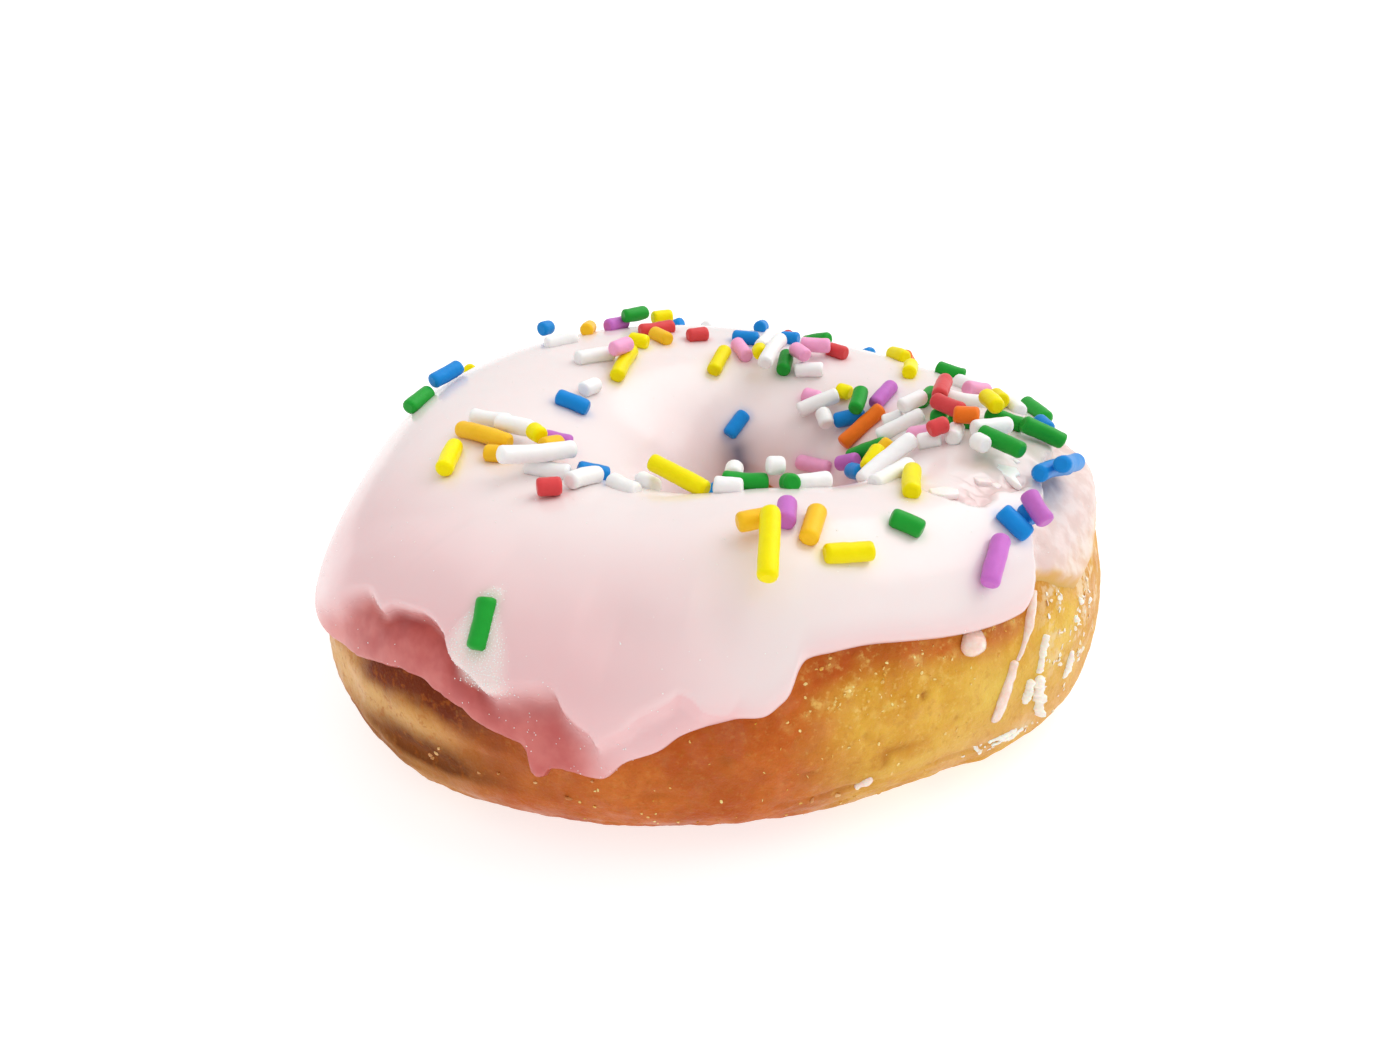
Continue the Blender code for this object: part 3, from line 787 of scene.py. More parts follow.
def crowded(share, middle, crowding):
    """An angle for a share of the whole round, with the angles closer together about the middle one."""
    angle = 360 * share
    return angle - crowding * sin(radians(angle - middle))


def ring_stations(count):
    return [Station(crowded(i / count, FRONT_BEARING, FRONT_CROWDING) % 360) for i in range(count)]


def as_piece(name, shape):
    """Put a finished shape into the scene as one smooth piece."""
    mesh = bpy.data.meshes.new(name)
    shape.to_mesh(mesh)
    shape.free()
    mesh.shade_smooth()
    piece = bpy.data.objects.new(name, mesh)
    bpy.context.scene.collection.objects.link(piece)
    return piece


def closed_ring(name, round_steps, section_steps, masks, place):
    """A ring made of a grid whose corners are put where place() says, with its two seams closed.

    place() takes a station and a step of the section, and gives the point and the value of each mask there.
    """
    shape = bmesh.new()
    bmesh.ops.create_grid(shape, x_segments=round_steps, y_segments=section_steps, size=0.5)
    layers = [shape.verts.layers.float.new(mask) for mask in masks]
    placed = {}
    for corner in shape.verts:
        at = (round((corner.co.x + 0.5) * round_steps) % round_steps,
              round((corner.co.y + 0.5) * section_steps) % section_steps)
        if at not in placed:
            placed[at] = place(*at)
        corner.co, values = placed[at]
        for layer, value in zip(layers, values):
            corner[layer] = value
    bmesh.ops.remove_doubles(shape, verts=shape.verts, dist=SEAM_WIDTH * MM)
    return as_piece(name, shape)


def store(mesh, name, values):
    """Keep one number for each corner of a mesh."""
    kept = mesh.attributes.new(name, "FLOAT", "POINT")
    kept.data.foreach_set("value", np.array(values, dtype=np.float32))


def store_colour(mesh, name, values):
    kept = mesh.attributes.new(name, "FLOAT_COLOR", "POINT")
    kept.data.foreach_set("color", np.array(values, dtype=np.float32).ravel())


def settle(piece, slot, *replaced):
    """Attach a finished piece to what it moves with, and hide the solids that it stands for. The slot is not
    used.
    """
    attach(piece, "root")
    if replaced:
        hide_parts(*replaced)


def edge_below(bearing, turn):
    """How far under the icing's outer edge a place on the dough lies, in millimetres along the skin."""
    return (around(OUTER_EDGE, bearing) - turn) * radians(1) * SECTION_RADIUS


def dough_relief(bearing, turn, point):
    """How far the fried skin stands out from the plain ring."""
    relief = sum(height * ripple(point, size, 2) for size, height in DOUGH_RELIEF)
    near_foot = exp(-((turn % 360 - FOOT_FOLDS_TURN) / FOOT_FOLDS_SPREAD) ** 2)
    stretched = Vector((point.x * 0.5, point.y * 0.5, point.z * 2.2))
    relief += near_foot * FOOT_FOLDS_HEIGHT * ripple(stretched, 3.0, 3)
    crusted = hill(bearing, turn_up(turn), *CRUSTED_PATCH)
    if crusted > 0.05:
        relief += crusted * CRUSTED_HEIGHT * ripple(point, 0.9, 2)
    for at_bearing, at_turn, wide, tall, height, _ in DOUGH_MARKS:
        relief += height * hill(bearing, turn_up(turn), at_bearing, at_turn, wide, tall)
    return relief


def turn_up(turn):
    """The same turn, counted from -180 to 180."""
    return (turn + 180) % 360 - 180


def make_dough():
    stations = ring_stations(DOUGH_ROUND_STEPS)
    masks = (
        "golden", "rust", "shadowed", "pale", "olive", "lit", "marked", "frosted",
        "crystalled", "crumbed", "flaked",
    )

    def place(at, step):
        station = stations[at]
        bearing = station.bearing
        turn = crowded(step / DOUGH_SECTION_STEPS, SIDE_TURN, SIDE_CROWDING) % 360
        level = turn_up(turn)
        plain = station.over_dough(turn)
        below = edge_below(bearing, level)
        # Golden crust, yellower on the side towards the key light: partly the crust's colour, partly painted
        # light.
        golden = window(bearing - 9 * (1 - eased(-8, 14, level)), *GOLDEN_AND_LIT_WINDOW)
        rust = window(bearing, *RUST_WINDOW)
        # Painted shade: deeper rust-brown just under the icing's right edge.
        rust += 0.8 * window(bearing, *EDGE_SHADE_WINDOW) * (1 - eased(1, 4, below))
        worn = ripple(plain, 3.0, 3)
        shadowed = window(bearing, *SHADOWED_WINDOW) * (1 - eased(0.8, 4.0, below + 0.8 * worn))
        pale = patched(bearing, level, PALE_PATCHES)
        olive = patched(bearing, level, OLIVE_PATCHES)
        lit = patched(bearing, level, LIT_PATCHES)
        marked = max(dark * hill(bearing, level, *mark) for *mark, _, dark in DOUGH_MARKS)
        frosted = window(bearing, *FROSTED_WINDOW) * eased(-6, 22, level)
        frosted += patched(bearing, level, FROSTED_PATCHES)
        on_foot = plain.z < 0.02 * MM
        point = plain if on_foot else station.over_dough(turn, dough_relief(bearing, turn, plain))
        point.z = max(point.z, 0.0)
        clumped = eased(-0.15, 0.45, ripple(plain, 2.2, 2))
        gathered = eased(-0.05, 0.4, ripple(plain, 1.7, 2))
        crystalled = gathered * patched(bearing, level, CRYSTAL_PATCHES)
        crystalled += patched(bearing, level, CRYSTAL_CLUMP)
        crystalled += SPECKLED_SHARE * window(bearing, *SPECKLED_WINDOW)
        crumbed = clumped * patched(bearing, level, CRUMB_PATCHES)
        at_middle = eased(-6, 6, level) * (1 - eased(32, 44, level))
        flaked = window(bearing, *FLAKED_WINDOW) * at_middle * clumped
        flaked += patched(bearing, level, FLAKE_PATCHES)
        open_crust = below > BARE_UNDER_EDGE and plain.z > BARE_ABOVE_FLOOR * MM
        strewn = (crystalled, crumbed, flaked)
        strewn = [value if open_crust and value > THINNEST_MASK else 0.0 for value in strewn]
        plain_masks = (golden, min(rust, 1), shadowed, pale, olive, min(lit, 1), marked, min(frosted, 1))
        return point, (*plain_masks, *strewn)

    dough = closed_ring("dough_skin", DOUGH_ROUND_STEPS, DOUGH_SECTION_STEPS, masks, place)
    dough.data.materials.append(fried_crust())
    settle(dough, "fried_dough", "dough")
    return dough


def lip(bearing, turn, point):
    """How far a place lies above the edge of the upper layer of icing, in degrees of turn."""
    torn = 0.9 * ripple(point, 2.4, 3)
    return turn - around(LIP_LINE, bearing) + torn


def smear_over(bearing, turn, point):
    """How far a place lies above the line where the thick icing has been wiped off."""
    return turn - around(THICK_EDGE, bearing) + 3.0 * ripple(point, 3.0, 3)


def icing_depth(bearing, turn, point):
    """Height of the icing's face over the dough, away from its rims."""
    depth = ICING_DEPTH
    for at_bearing, at_turn, wide, tall, height in ICING_SWELLS:
        depth += height * hill(bearing, turn, at_bearing, at_turn, wide, tall)
    depth += sum(height * ripple(point, size, 2) for size, height in ICING_RELIEF)
    in_lip = window(bearing, *LIP_WINDOW)
    if in_lip > 0:
        over = lip(bearing, turn, point)
        soft = 1 - window(bearing, *SHARP_LIP_WINDOW) - 0.6 * window(bearing, *SOFTER_LIP_WINDOW)
        raised = eased(-3.0 - 7 * soft, 1.2 + 3 * soft, over)
        fading = 1 - eased(10, 35, over)
        creased = Vector((point.x, point.y, point.z * 0.25))
        depth += in_lip * (LIP_RISE * raised * fading - LIP_SINK * (1 - raised))
        depth += in_lip * (1 - raised) * 0.12 * ripple(creased, 2.6, 3)
    smeared = window(bearing, *SMEAR_WINDOW)
    if smeared > 0:
        wiped = smeared * (1 - eased(-1.5, 1.5, smear_over(bearing, turn, point)))
        depth += wiped * (SMEAR_ROUGHNESS * ripple(point, 1.6, 4) - SMEAR_SINK)
    torn = torn_away(bearing, turn, point)
    if torn > 0:
        depth -= torn * (TEAR_SINK + TEAR_ROUGHNESS * ripple(point, 1.3, 3))
    return max(depth, THINNEST_ICING)


def torn_away(bearing, turn, point):
    """How far the icing is torn away beside the heap: most just above its torn edge, less further up."""
    over = turn - around(TEAR_LINE, bearing) + 2.0 * ripple(point, 1.6, 3)
    return window(bearing, *TEAR_WINDOW) * eased(-0.9, 0.7, over) * (1 - eased(3, 17, over))


def icing_turns(low, calm, high):
    """Turns of the icing's face across its section, closer together at the rims.

    The rows follow a calm edge, and only those close to the real, jagged one are drawn to it.
    """
    rim = [RIM_WIDTH * (1 - cos(pi / 2 * i / ICING_RIM_STEPS)) for i in range(ICING_RIM_STEPS)]
    inner = high - calm - 2 * RIM_WIDTH
    middle = [RIM_WIDTH + inner * i / ICING_TOP_STEPS for i in range(ICING_TOP_STEPS + 1)]
    far_rim = [high - calm - step for step in reversed(rim)]
    steps = rim + middle + far_rim
    return [calm + step + (low - calm) * (1 - eased(RIM_WIDTH, DRAWN_WIDTH, step)) for step in steps]


def make_icing(laid):
    stations = ring_stations(ICING_ROUND_STEPS)
    face_steps = 2 * ICING_RIM_STEPS + ICING_TOP_STEPS + 1
    section_steps = face_steps + ICING_FOOT_STEPS
    edges = []
    for station in stations:
        ragged = window(station.bearing, *RAGGED_WINDOW) * ripple(station.over_dough(15), 1.6, 3)
        low = around(OUTER_EDGE, station.bearing) + ragged
        near = [around(OUTER_EDGE, station.bearing + step) for step in range(-CALMED, CALMED + 1)]
        edges.append((low, sum(near) / len(near), around(INNER_EDGE, station.bearing)))
    all_turns = [icing_turns(*bounds) for bounds in edges]
    masks = (
        "rose", "crimson", "sugary", "smeared", "thinned", "bared", "torn", "thin", "flushed", "sparkling",
    )

    def place(at, step):
        station = stations[at]
        bearing = station.bearing
        low, _, high = edges[at]
        if step < face_steps:
            turn = all_turns[at][step]
        else:
            turn = high - 1 - (high - low - 2) * (step - face_steps + 0.5) / ICING_FOOT_STEPS
        plain = station.over_dough(turn)
        from_rim = min(max(turn - low, 0.0), max(high - turn, 0.0), RIM_WIDTH) / RIM_WIDTH
        roundness = 0.30 + 0.70 * sqrt(from_rim * (2 - from_rim))
        wiped = window(bearing, *SMEAR_WINDOW) * (1 - eased(-1.5, 1.5, smear_over(bearing, turn, plain)))
        roundness *= 1 - wiped * (1 - eased(0, 6, turn - low))
        thickness = icing_depth(bearing, turn, plain) * roundness
        over = lip(bearing, turn, plain)
        soft = 1 - window(bearing, *SHARP_BAND_WINDOW)
        rose = window(bearing, *ROSE_WINDOW) * (1 - eased(-3.6 - 9 * soft, 0.8 + 2.5 * soft, over))
        # Deeper crimson in the band, strongest just under the lip: partly the band's colour, partly painted
        # shade under the lip.
        crimson = rose * window(bearing, *CRIMSON_AND_SHADE_WINDOW) * (0.45 + 0.55 * eased(-12, -2, over))
        torn = torn_away(bearing, turn, plain)
        thinned = wiped * (1 - eased(31, 48, turn + 4 * ripple(plain, 2.0, 3)))
        bared = wiped * (1 - eased(2, 8, turn - low + 3 * ripple(plain, 1.5, 3)))
        clear = ICING_GAP * (1 - wiped * (1 - eased(0, 6, turn - low)))
        depth = clear * min(from_rim * 6, 1) + thickness + ICING_SUNK * (1 - from_rim)
        point = station.over_dough(turn, depth if step < face_steps else ICING_SUNK)
        # Painted shade: deeper pink on the shaded front-left, along the lower edge, down in the hole and
        # under the lobe's lip.
        flushed = window(bearing, *PINK_SHADE_WINDOW) * (1 - eased(30, 95, turn))
        flushed += 0.5 * (1 - eased(0, 12, turn - low)) + 0.22 * eased(118, 145, turn)
        flushed += 1.2 * window(bearing, *PINK_SHADE_LOBE_WINDOW) * (1 - eased(-2.5, 0.5, over))
        sugary = teardrop(bearing, turn)
        on_face = step < face_steps
        on_lip = window(bearing, *SPARKLING_WINDOW) * (over < 2)
        sparkling = on_face * (sugary * 3.2 + 0.010 + 0.07 * on_lip)
        thin = 1 - from_rim
        return point, (rose, crimson, sugary, wiped, thinned, bared, torn, thin, min(flushed, 1.6), sparkling)

    icing = closed_ring("icing_skin", ICING_ROUND_STEPS, section_steps, masks, place)
    bleed_dyes_and_hole_shade(icing.data, laid)
    icing.data.materials.append(pink_icing())
    settle(icing, "pink_icing", "icing")
    return icing


def teardrop(bearing, turn):
    """The drop of half-dissolved sugar round the green sprinkle: narrow at its top, round at its foot."""
    top_bearing, top_turn, foot_bearing, foot_turn = SUGARY_DROP
    share = min(max((top_turn - turn) / (top_turn - foot_turn), 0.0), 1.0)
    middle = top_bearing + (foot_bearing - top_bearing) * share
    width = 1.4 + 3.0 * eased(0.0, 0.7, share)
    aside = bearing_between(middle, bearing) / width
    beyond = max(turn - top_turn, foot_turn - turn, 0) / 3
    return 1 - eased(0.55, 1.15, hypot(aside, beyond))


def bleed_dyes_and_hole_shade(mesh, laid):
    """Stain the icing close to coloured sprinkles and where dye has run, and paint shade in the hole below
    the blue sprinkle.
    """
    depth = ICING_GAP + ICING_DEPTH
    sources = [
        (*rod, SPRINKLE_THICKNESS / 2, DYE_REACH, DYE_BLEED[colour], ROD_COLOURS[colour])
        for colour, rod in laid
    ]
    for start, end, reach, strength, tint in DYE_STAINS_AND_HOLE_SHADE:
        sources.append((over_dough(*start, depth), over_dough(*end, depth), 0, reach, strength, tint))
    corners = np.empty(len(mesh.vertices) * 3, dtype=np.float32)
    mesh.vertices.foreach_get("co", corners)
    corners = corners.reshape(-1, 3)
    stain_and_shade = np.zeros((len(corners), 4))
    for start, end, inside, reach, bleed, tint in sources:
        start, along = np.array(start), np.array(end - start)
        share = np.clip((corners - start) @ along / (along @ along), 0, 1)
        away = np.linalg.norm(corners - start - share[:, None] * along, axis=1) / MM
        strength = bleed * np.exp(-(np.maximum(away - inside, 0) / reach) ** 1.5)
        stain_and_shade = stain_and_shade + (1 - stain_and_shade[:, 3:]) * strength[:, None] * np.array([*tint, 1.0])
    weight = np.maximum(stain_and_shade[:, 3:], 1e-6)
    store_colour(mesh, "dye_and_shade_tint", np.hstack([stain_and_shade[:, :3] / weight, np.ones((len(corners), 1))]))
    store(mesh, "dye_and_shade", stain_and_shade[:, 3])


def smooth_stops(stops, share):
    """A place on a curve that passes through all the stops."""
    at = share * (len(stops) - 1)
    first = min(int(at), len(stops) - 2)
    there = at - first
    near = [stops[min(max(first + step, 0), len(stops) - 1)] for step in (-1, 0, 1, 2)]
    return [
        0.5 * (2 * q + (r - p) * there + (2 * p - 5 * q + 4 * r - s) * there ** 2
               + (3 * q - p - 3 * r + s) * there ** 3)
        for p, q, r, s in zip(*near)
    ]


def add_run(shape, stops, over, roughness):
    """Loft one run of glaze along its stops: a flat-bottomed drop with rounded ends, closed all round."""
    places = [smooth_stops(stops, i / RUN_STEPS) for i in range(RUN_STEPS + 1)]
    points = [over_dough(bearing, turn, over) for bearing, turn, _, _ in places]
    rings = []
    for i, (bearing, turn, half, height) in enumerate(places):
        ahead = (points[min(i + 1, RUN_STEPS)] - points[max(i - 1, 0)]).normalized()
        up = facing(bearing, turn)
        aside = ahead.cross(up).normalized()
        base = dough_relief(bearing, turn, points[i]) if over == 0 else 0
        near_end = min(i, RUN_STEPS - i) / RUN_STEPS * (points[-1] - points[0]).length / MM
        taper = max(sqrt(max(1 - (1 - min(near_end / max(half, 0.1), 1)) ** 2, 0)), 0.06)
        ring = []
        for k in range(RUN_SIDES):
            angle = 2 * pi * k / RUN_SIDES
            rise = sin(angle)
            lift = height * taper * rise if rise > 0 else RUN_SUNK * rise
            spread = half * taper * cos(angle)
            worn = 1 + roughness * ripple(points[i] + aside * spread * MM, 0.7, 3)
            ring.append(shape.verts.new(points[i] + (aside * spread * worn + up * (base + lift * worn)) * MM))
        rings.append(ring)
    for near, far in zip(rings, rings[1:]):
        for k in range(RUN_SIDES):
            following = (k + 1) % RUN_SIDES
            shape.faces.new((near[k], near[following], far[following], far[k]))
    shape.faces.new(rings[0][::-1])
    shape.faces.new(rings[-1])


def make_runs(name, runs, over, roughness, material):
    shape = bmesh.new()
    for stops in runs:
        add_run(shape, stops, over, roughness)
    bmesh.ops.recalc_face_normals(shape, faces=shape.faces)
    piece = as_piece(name, shape)
    piece.data.materials.append(material)
    settle(piece, "sugar_glaze")


def make_broken_bits():
    """Flat bits of torn icing and crushed white sugar, each a slab with worn corners."""
    shape = bmesh.new()
    tone = shape.verts.layers.float.new("tone")
    for bearing, turn, height, (lean_right, lean_away), white, corners in BROKEN_BITS:
        middle, up = over_dough(bearing, turn, height), facing(bearing, turn)
        right = (Vector((1, 0, 0)) - up * up.x + up * lean_right).normalized()
        away = (up.cross(right) + up * lean_away).normalized()
        edge = [shape.verts.new(middle + (right * x + away * y) * MM) for x, y in corners]
        slab = bmesh.ops.extrude_face_region(shape, geom=[shape.faces.new(edge)])
        sunk = [part for part in slab["geom"] if isinstance(part, bmesh.types.BMVert)]
        bmesh.ops.translate(shape, verts=sunk, vec=up * -BIT_THICKNESS * MM)
        for corner in edge + sunk:
            corner[tone] = white
    bmesh.ops.recalc_face_normals(shape, faces=shape.faces)
    bmesh.ops.bevel(
        shape, geom=shape.edges[:] + shape.verts[:], offset=BIT_ROUNDING * MM, segments=4, profile=0.5,
        affect="EDGES",
    )
    for corner in shape.verts:
        corner.co += facing(*BITS_FACE) * ripple(corner.co, BIT_WEAR_SIZE, 2) * BIT_WEAR * MM
    piece = as_piece("broken_bits", shape)
    piece.data.materials.append(grains_of("broken icing", (0.90, 0.74, 0.72), (0.97, 0.96, 0.94), 0.4))
    settle(piece, "sugar_glaze")


# Finishes

def fried_crust():
    finish = Finish(
        "fried crust", specular_ior_level=0.30, specular_tint=(1.0, 0.66, 0.30, 1.0), subsurface_weight=0.10,
        subsurface_scale=0.0015, coat_roughness=0.16, coat_tint=(1.0, 0.90, 0.72, 1.0),
    )
    golden, rust, marked, shadowed = finish.masks("golden rust marked shadowed")
    pale, lit, olive, frosted = finish.masks("pale lit olive frosted")
    broad, mid, fine = finish.lumps(7.0, 3.0), finish.lumps(2.6, 3.0, 0.55), finish.lumps(0.9, 4.0, 0.65)
    blotches = finish.between(0.36, 0.66, broad * 0.5 + mid * 0.35 + fine * 0.15)
    base = finish.mix(blotches, (0.45, 0.155, 0.022), (0.60, 0.27, 0.055))
    gold_and_glow = finish.mix(blotches, (0.60, 0.26, 0.016), (0.77, 0.46, 0.060))
    # The golden colour is partly painted light on the side towards the key light.
    deep = finish.mix(blotches, (0.44, 0.075, 0.008), (0.60, 0.15, 0.020))
    colour = finish.mix(golden, base, gold_and_glow)
    # Rust-brown crust, and painted shade under the icing's right edge.
    colour = finish.mix(finish.held(rust * 1.1 + (mid - 0.5) * 1.2 * rust), colour, deep)
    colour = finish.mix(finish.held(lit * 0.9 + (mid - 0.5) * 1.0 * lit), colour, (0.80, 0.56, 0.10))
    colour = finish.mix(finish.held(pale * 0.9 + (broad - 0.5) * 0.7 * pale), colour, (0.74, 0.42, 0.15))
    colour = finish.mix(finish.held(olive + (mid - 0.5) * 0.9 * olive), colour, (0.15, 0.034, 0.004))
    dark = finish.held(shadowed * 1.25 - (mid - 0.5) * 1.0 * shadowed)
    colour = finish.mix(dark, colour, (0.15, 0.018, 0.003))
    specks = finish.between(0.52, 0.68, fine) * (0.50 - golden * 0.24)
    colour = finish.mix(specks, colour, (0.40, 0.10, 0.010))
    sugared = finish.held(finish.attribute("crystalled") * 1.6)
    clumps = finish.between(0.47, 0.58, finish.lumps(1.2, 4.0, 0.6)) * sugared
    colour = finish.mix(clumps * 0.7, colour, (0.84, 0.57, 0.15))
    flecks = finish.between(0.56, 0.72, finish.lumps(0.6, 3.0, 0.6))
    colour = finish.mix(flecks * (golden * 0.26 + 0.06), colour, (0.88, 0.62, 0.18))
    colour = finish.mix(finish.held(marked + (fine - 0.5) * marked), colour, (0.34, 0.085, 0.010))
    film = finish.between(0.50, 0.60, finish.lumps(2.2, 4.0, 0.62)) * frosted
    colour = finish.mix(film * 0.75, colour, (0.84, 0.68, 0.46))
    finish.feed("Base Color", colour)
    finish.feed("Roughness", 0.36 + fine * 0.28 + film * 0.2 + finish.held(shadowed + olive) * 0.25)
    bright = 1 - finish.held(shadowed + olive)
    finish.feed("Coat Weight", finish.between(0.48, 0.66, finish.lumps(3.0, 3.0)) * bright * 0.35)
    pores = finish.bump(finish.lumps(0.4, 3.0, 0.6), 0.07, 0.8)
    finish.feed("Normal", finish.bump(finish.lumps(1.4, 4.0, 0.65), 0.32, 0.9, pores))
    return finish.material


def pink_icing():
    finish = Finish(
        "pink icing", subsurface_weight=0.30, subsurface_scale=0.0022, coat_weight=0.18, coat_roughness=0.14,
        subsurface_radius=(1.0, 0.45, 0.42),
    )
    rose, crimson, thin, flushed, torn = finish.masks("rose crimson thin flushed torn")
    sugary, smeared, thinned, bared = finish.masks("sugary smeared thinned bared")
    cloud, streaks = finish.lumps(9.0, 2.0), finish.lumps(2.5, 3.0)
    colour = finish.mix(cloud, (0.82, 0.715, 0.705), (0.86, 0.765, 0.755))
    # Painted shade: a deeper pink for where the icing lies in shade.
    pink_shade_tone = finish.mix(cloud, (0.79, 0.465, 0.48), (0.83, 0.54, 0.55))
    colour = finish.mix(finish.held(flushed * 0.9 + (cloud - 0.5) * 0.5 * flushed), colour, pink_shade_tone)
    colour = finish.mix(thin * 0.22, colour, (0.84, 0.42, 0.42))
    deep = finish.mix(finish.between(0.3, 0.7, streaks), (0.62, 0.12, 0.11), (0.72, 0.22, 0.20))
    colour = finish.mix(rose, colour, deep)
    # Painted shade under the lip, over the band's deeper crimson.
    darkest_lip_shade = finish.mix(finish.between(0.3, 0.7, streaks), (0.34, 0.014, 0.007), (0.45, 0.038, 0.022))
    colour = finish.mix(crimson, colour, darkest_lip_shade)
    colour = finish.mix(torn * 0.6, colour, (0.80, 0.56, 0.55))
    grains = finish.lumps(0.5, 3.0, 0.65)
    patches = finish.between(0.4, 0.65, finish.lumps(1.8, 4.0))
    colour = finish.mix(smeared * 0.8, colour, finish.mix(patches, (0.69, 0.50, 0.45), (0.78, 0.63, 0.59)))
    colour = finish.mix(thinned * 0.85, colour, finish.mix(patches, (0.74, 0.48, 0.28), (0.86, 0.72, 0.58)))
    colour = finish.mix(bared, colour, (0.70, 0.38, 0.06))
    colour = finish.mix(sugary * 0.6, colour, (0.93, 0.83, 0.78))
    # Dye stains, with painted shade in the hole.
    colour = finish.mix(finish.attribute("dye_and_shade"), colour, finish.attribute("dye_and_shade_tint", "Color"))
    finish.feed("Base Color", colour)
    grainy = sugary.at_least(smeared)
    finish.feed("Roughness", 0.20 + grainy * 0.32 + rose * 0.12 + finish.lumps(1.5, 2.0) * 0.06)
    fine = finish.bump(grains * grainy, 0.08, 0.8)
    finish.feed("Normal", finish.bump(finish.lumps(2.2, 2.0), 0.04, 0.5, fine))
    return finish.material


def sugar_rod(colour):
    finish = Finish(
        f"{colour} sugar", subsurface_weight=0.10, subsurface_scale=0.0008, specular_ior_level=0.45,
        specular_tint=opaque(0.2 + 0.8 * part for part in ROD_COLOURS[colour]),
    )
    darker = tuple(part * 0.86 for part in ROD_COLOURS[colour])
    lighter = tuple(min(part * 1.08, 0.97) for part in ROD_COLOURS[colour])
    tone = finish.attribute("tone")
    mottle = finish.lumps(0.9, 3.0, 0.6)
    finish.feed("Base Color", finish.mix(finish.held(mottle * 0.7 + tone * 0.5 - 0.1), darker, lighter))
    finish.feed("Roughness", 0.30 + mottle * 0.22)
    finish.feed("Normal", finish.bump(finish.lumps(0.4, 2.0), 0.05, 0.5))
    return finish.material


def glaze(name, colour, other, roughness):
    finish = Finish(
        name, subsurface_weight=0.35, subsurface_scale=0.001, coat_weight=0.2, coat_roughness=0.15,
    )
    clouds = finish.lumps(0.9, 3.0, 0.6)
    finish.feed("Base Color", finish.mix(finish.between(0.3, 0.7, clouds), colour, other))
    finish.feed("Roughness", roughness + clouds * 0.2)
    finish.feed("Normal", finish.bump(finish.lumps(0.5, 3.0, 0.6), 0.08, 0.6))
    return finish.material


def grains_of(name, colour, other, roughness):
    finish = Finish(name, subsurface_weight=0.2, subsurface_scale=0.0006)
    finish.feed("Base Color", finish.mix(finish.attribute("tone"), colour, other))
    finish.feed("Roughness", roughness + finish.lumps(0.3, 2.0) * 0.15)
    return finish.material


def new_tree(name, sockets):
    tree = bpy.data.node_groups.new(name, "GeometryNodeTree")
    tree.interface.new_socket("Shape", in_out="OUTPUT", socket_type="NodeSocketGeometry")
    for socket, kind in sockets.items():
        tree.interface.new_socket(socket, in_out="INPUT", socket_type=kind)
    taken = tree.nodes.new("NodeGroupInput")
    return tree, {socket: Wire(tree, taken.outputs[socket]) for socket in sockets}


def end_tree(tree, shape, material):
    """Close a tree as plain mesh with its material."""
    shape = add_node(tree, "GeometryNodeRealizeInstances", values={"Geometry": shape})
    shape = add_node(tree, "GeometryNodeSetMaterial", values={"Geometry": shape, "Material": material})
    given = tree.nodes.new("NodeGroupOutput")
    tree.links.new(shape.socket, given.inputs[0])


def grow(name, mesh, tree, inputs):
    """Run a geometry tree on a mesh, and keep what comes out as a plain piece."""
    piece = bpy.data.objects.new(name, mesh)
    bpy.context.scene.collection.objects.link(piece)
    grown = piece.modifiers.new("grown", "NODES")
    grown.node_group = tree
    for item in tree.interface.items_tree:
        if item.item_type == "SOCKET" and item.in_out == "INPUT" and item.name in inputs:
            grown[item.identifier] = inputs[item.name]
    bpy.context.view_layer.update()
    made = bpy.data.meshes.new_from_object(piece.evaluated_get(bpy.context.evaluated_depsgraph_get()))
    made.name = name
    piece.modifiers.remove(grown)
    piece.data = made
    return piece


def scaled(tree, vector, factor):
    values = {"Vector": vector, "Scale": factor}
    return add_node(tree, "ShaderNodeVectorMath", {"operation": "SCALE"}, values, "Vector")


def summed(tree, first, second):
    return add_node(tree, "ShaderNodeVectorMath", {"operation": "ADD"}, (first, second), "Vector")


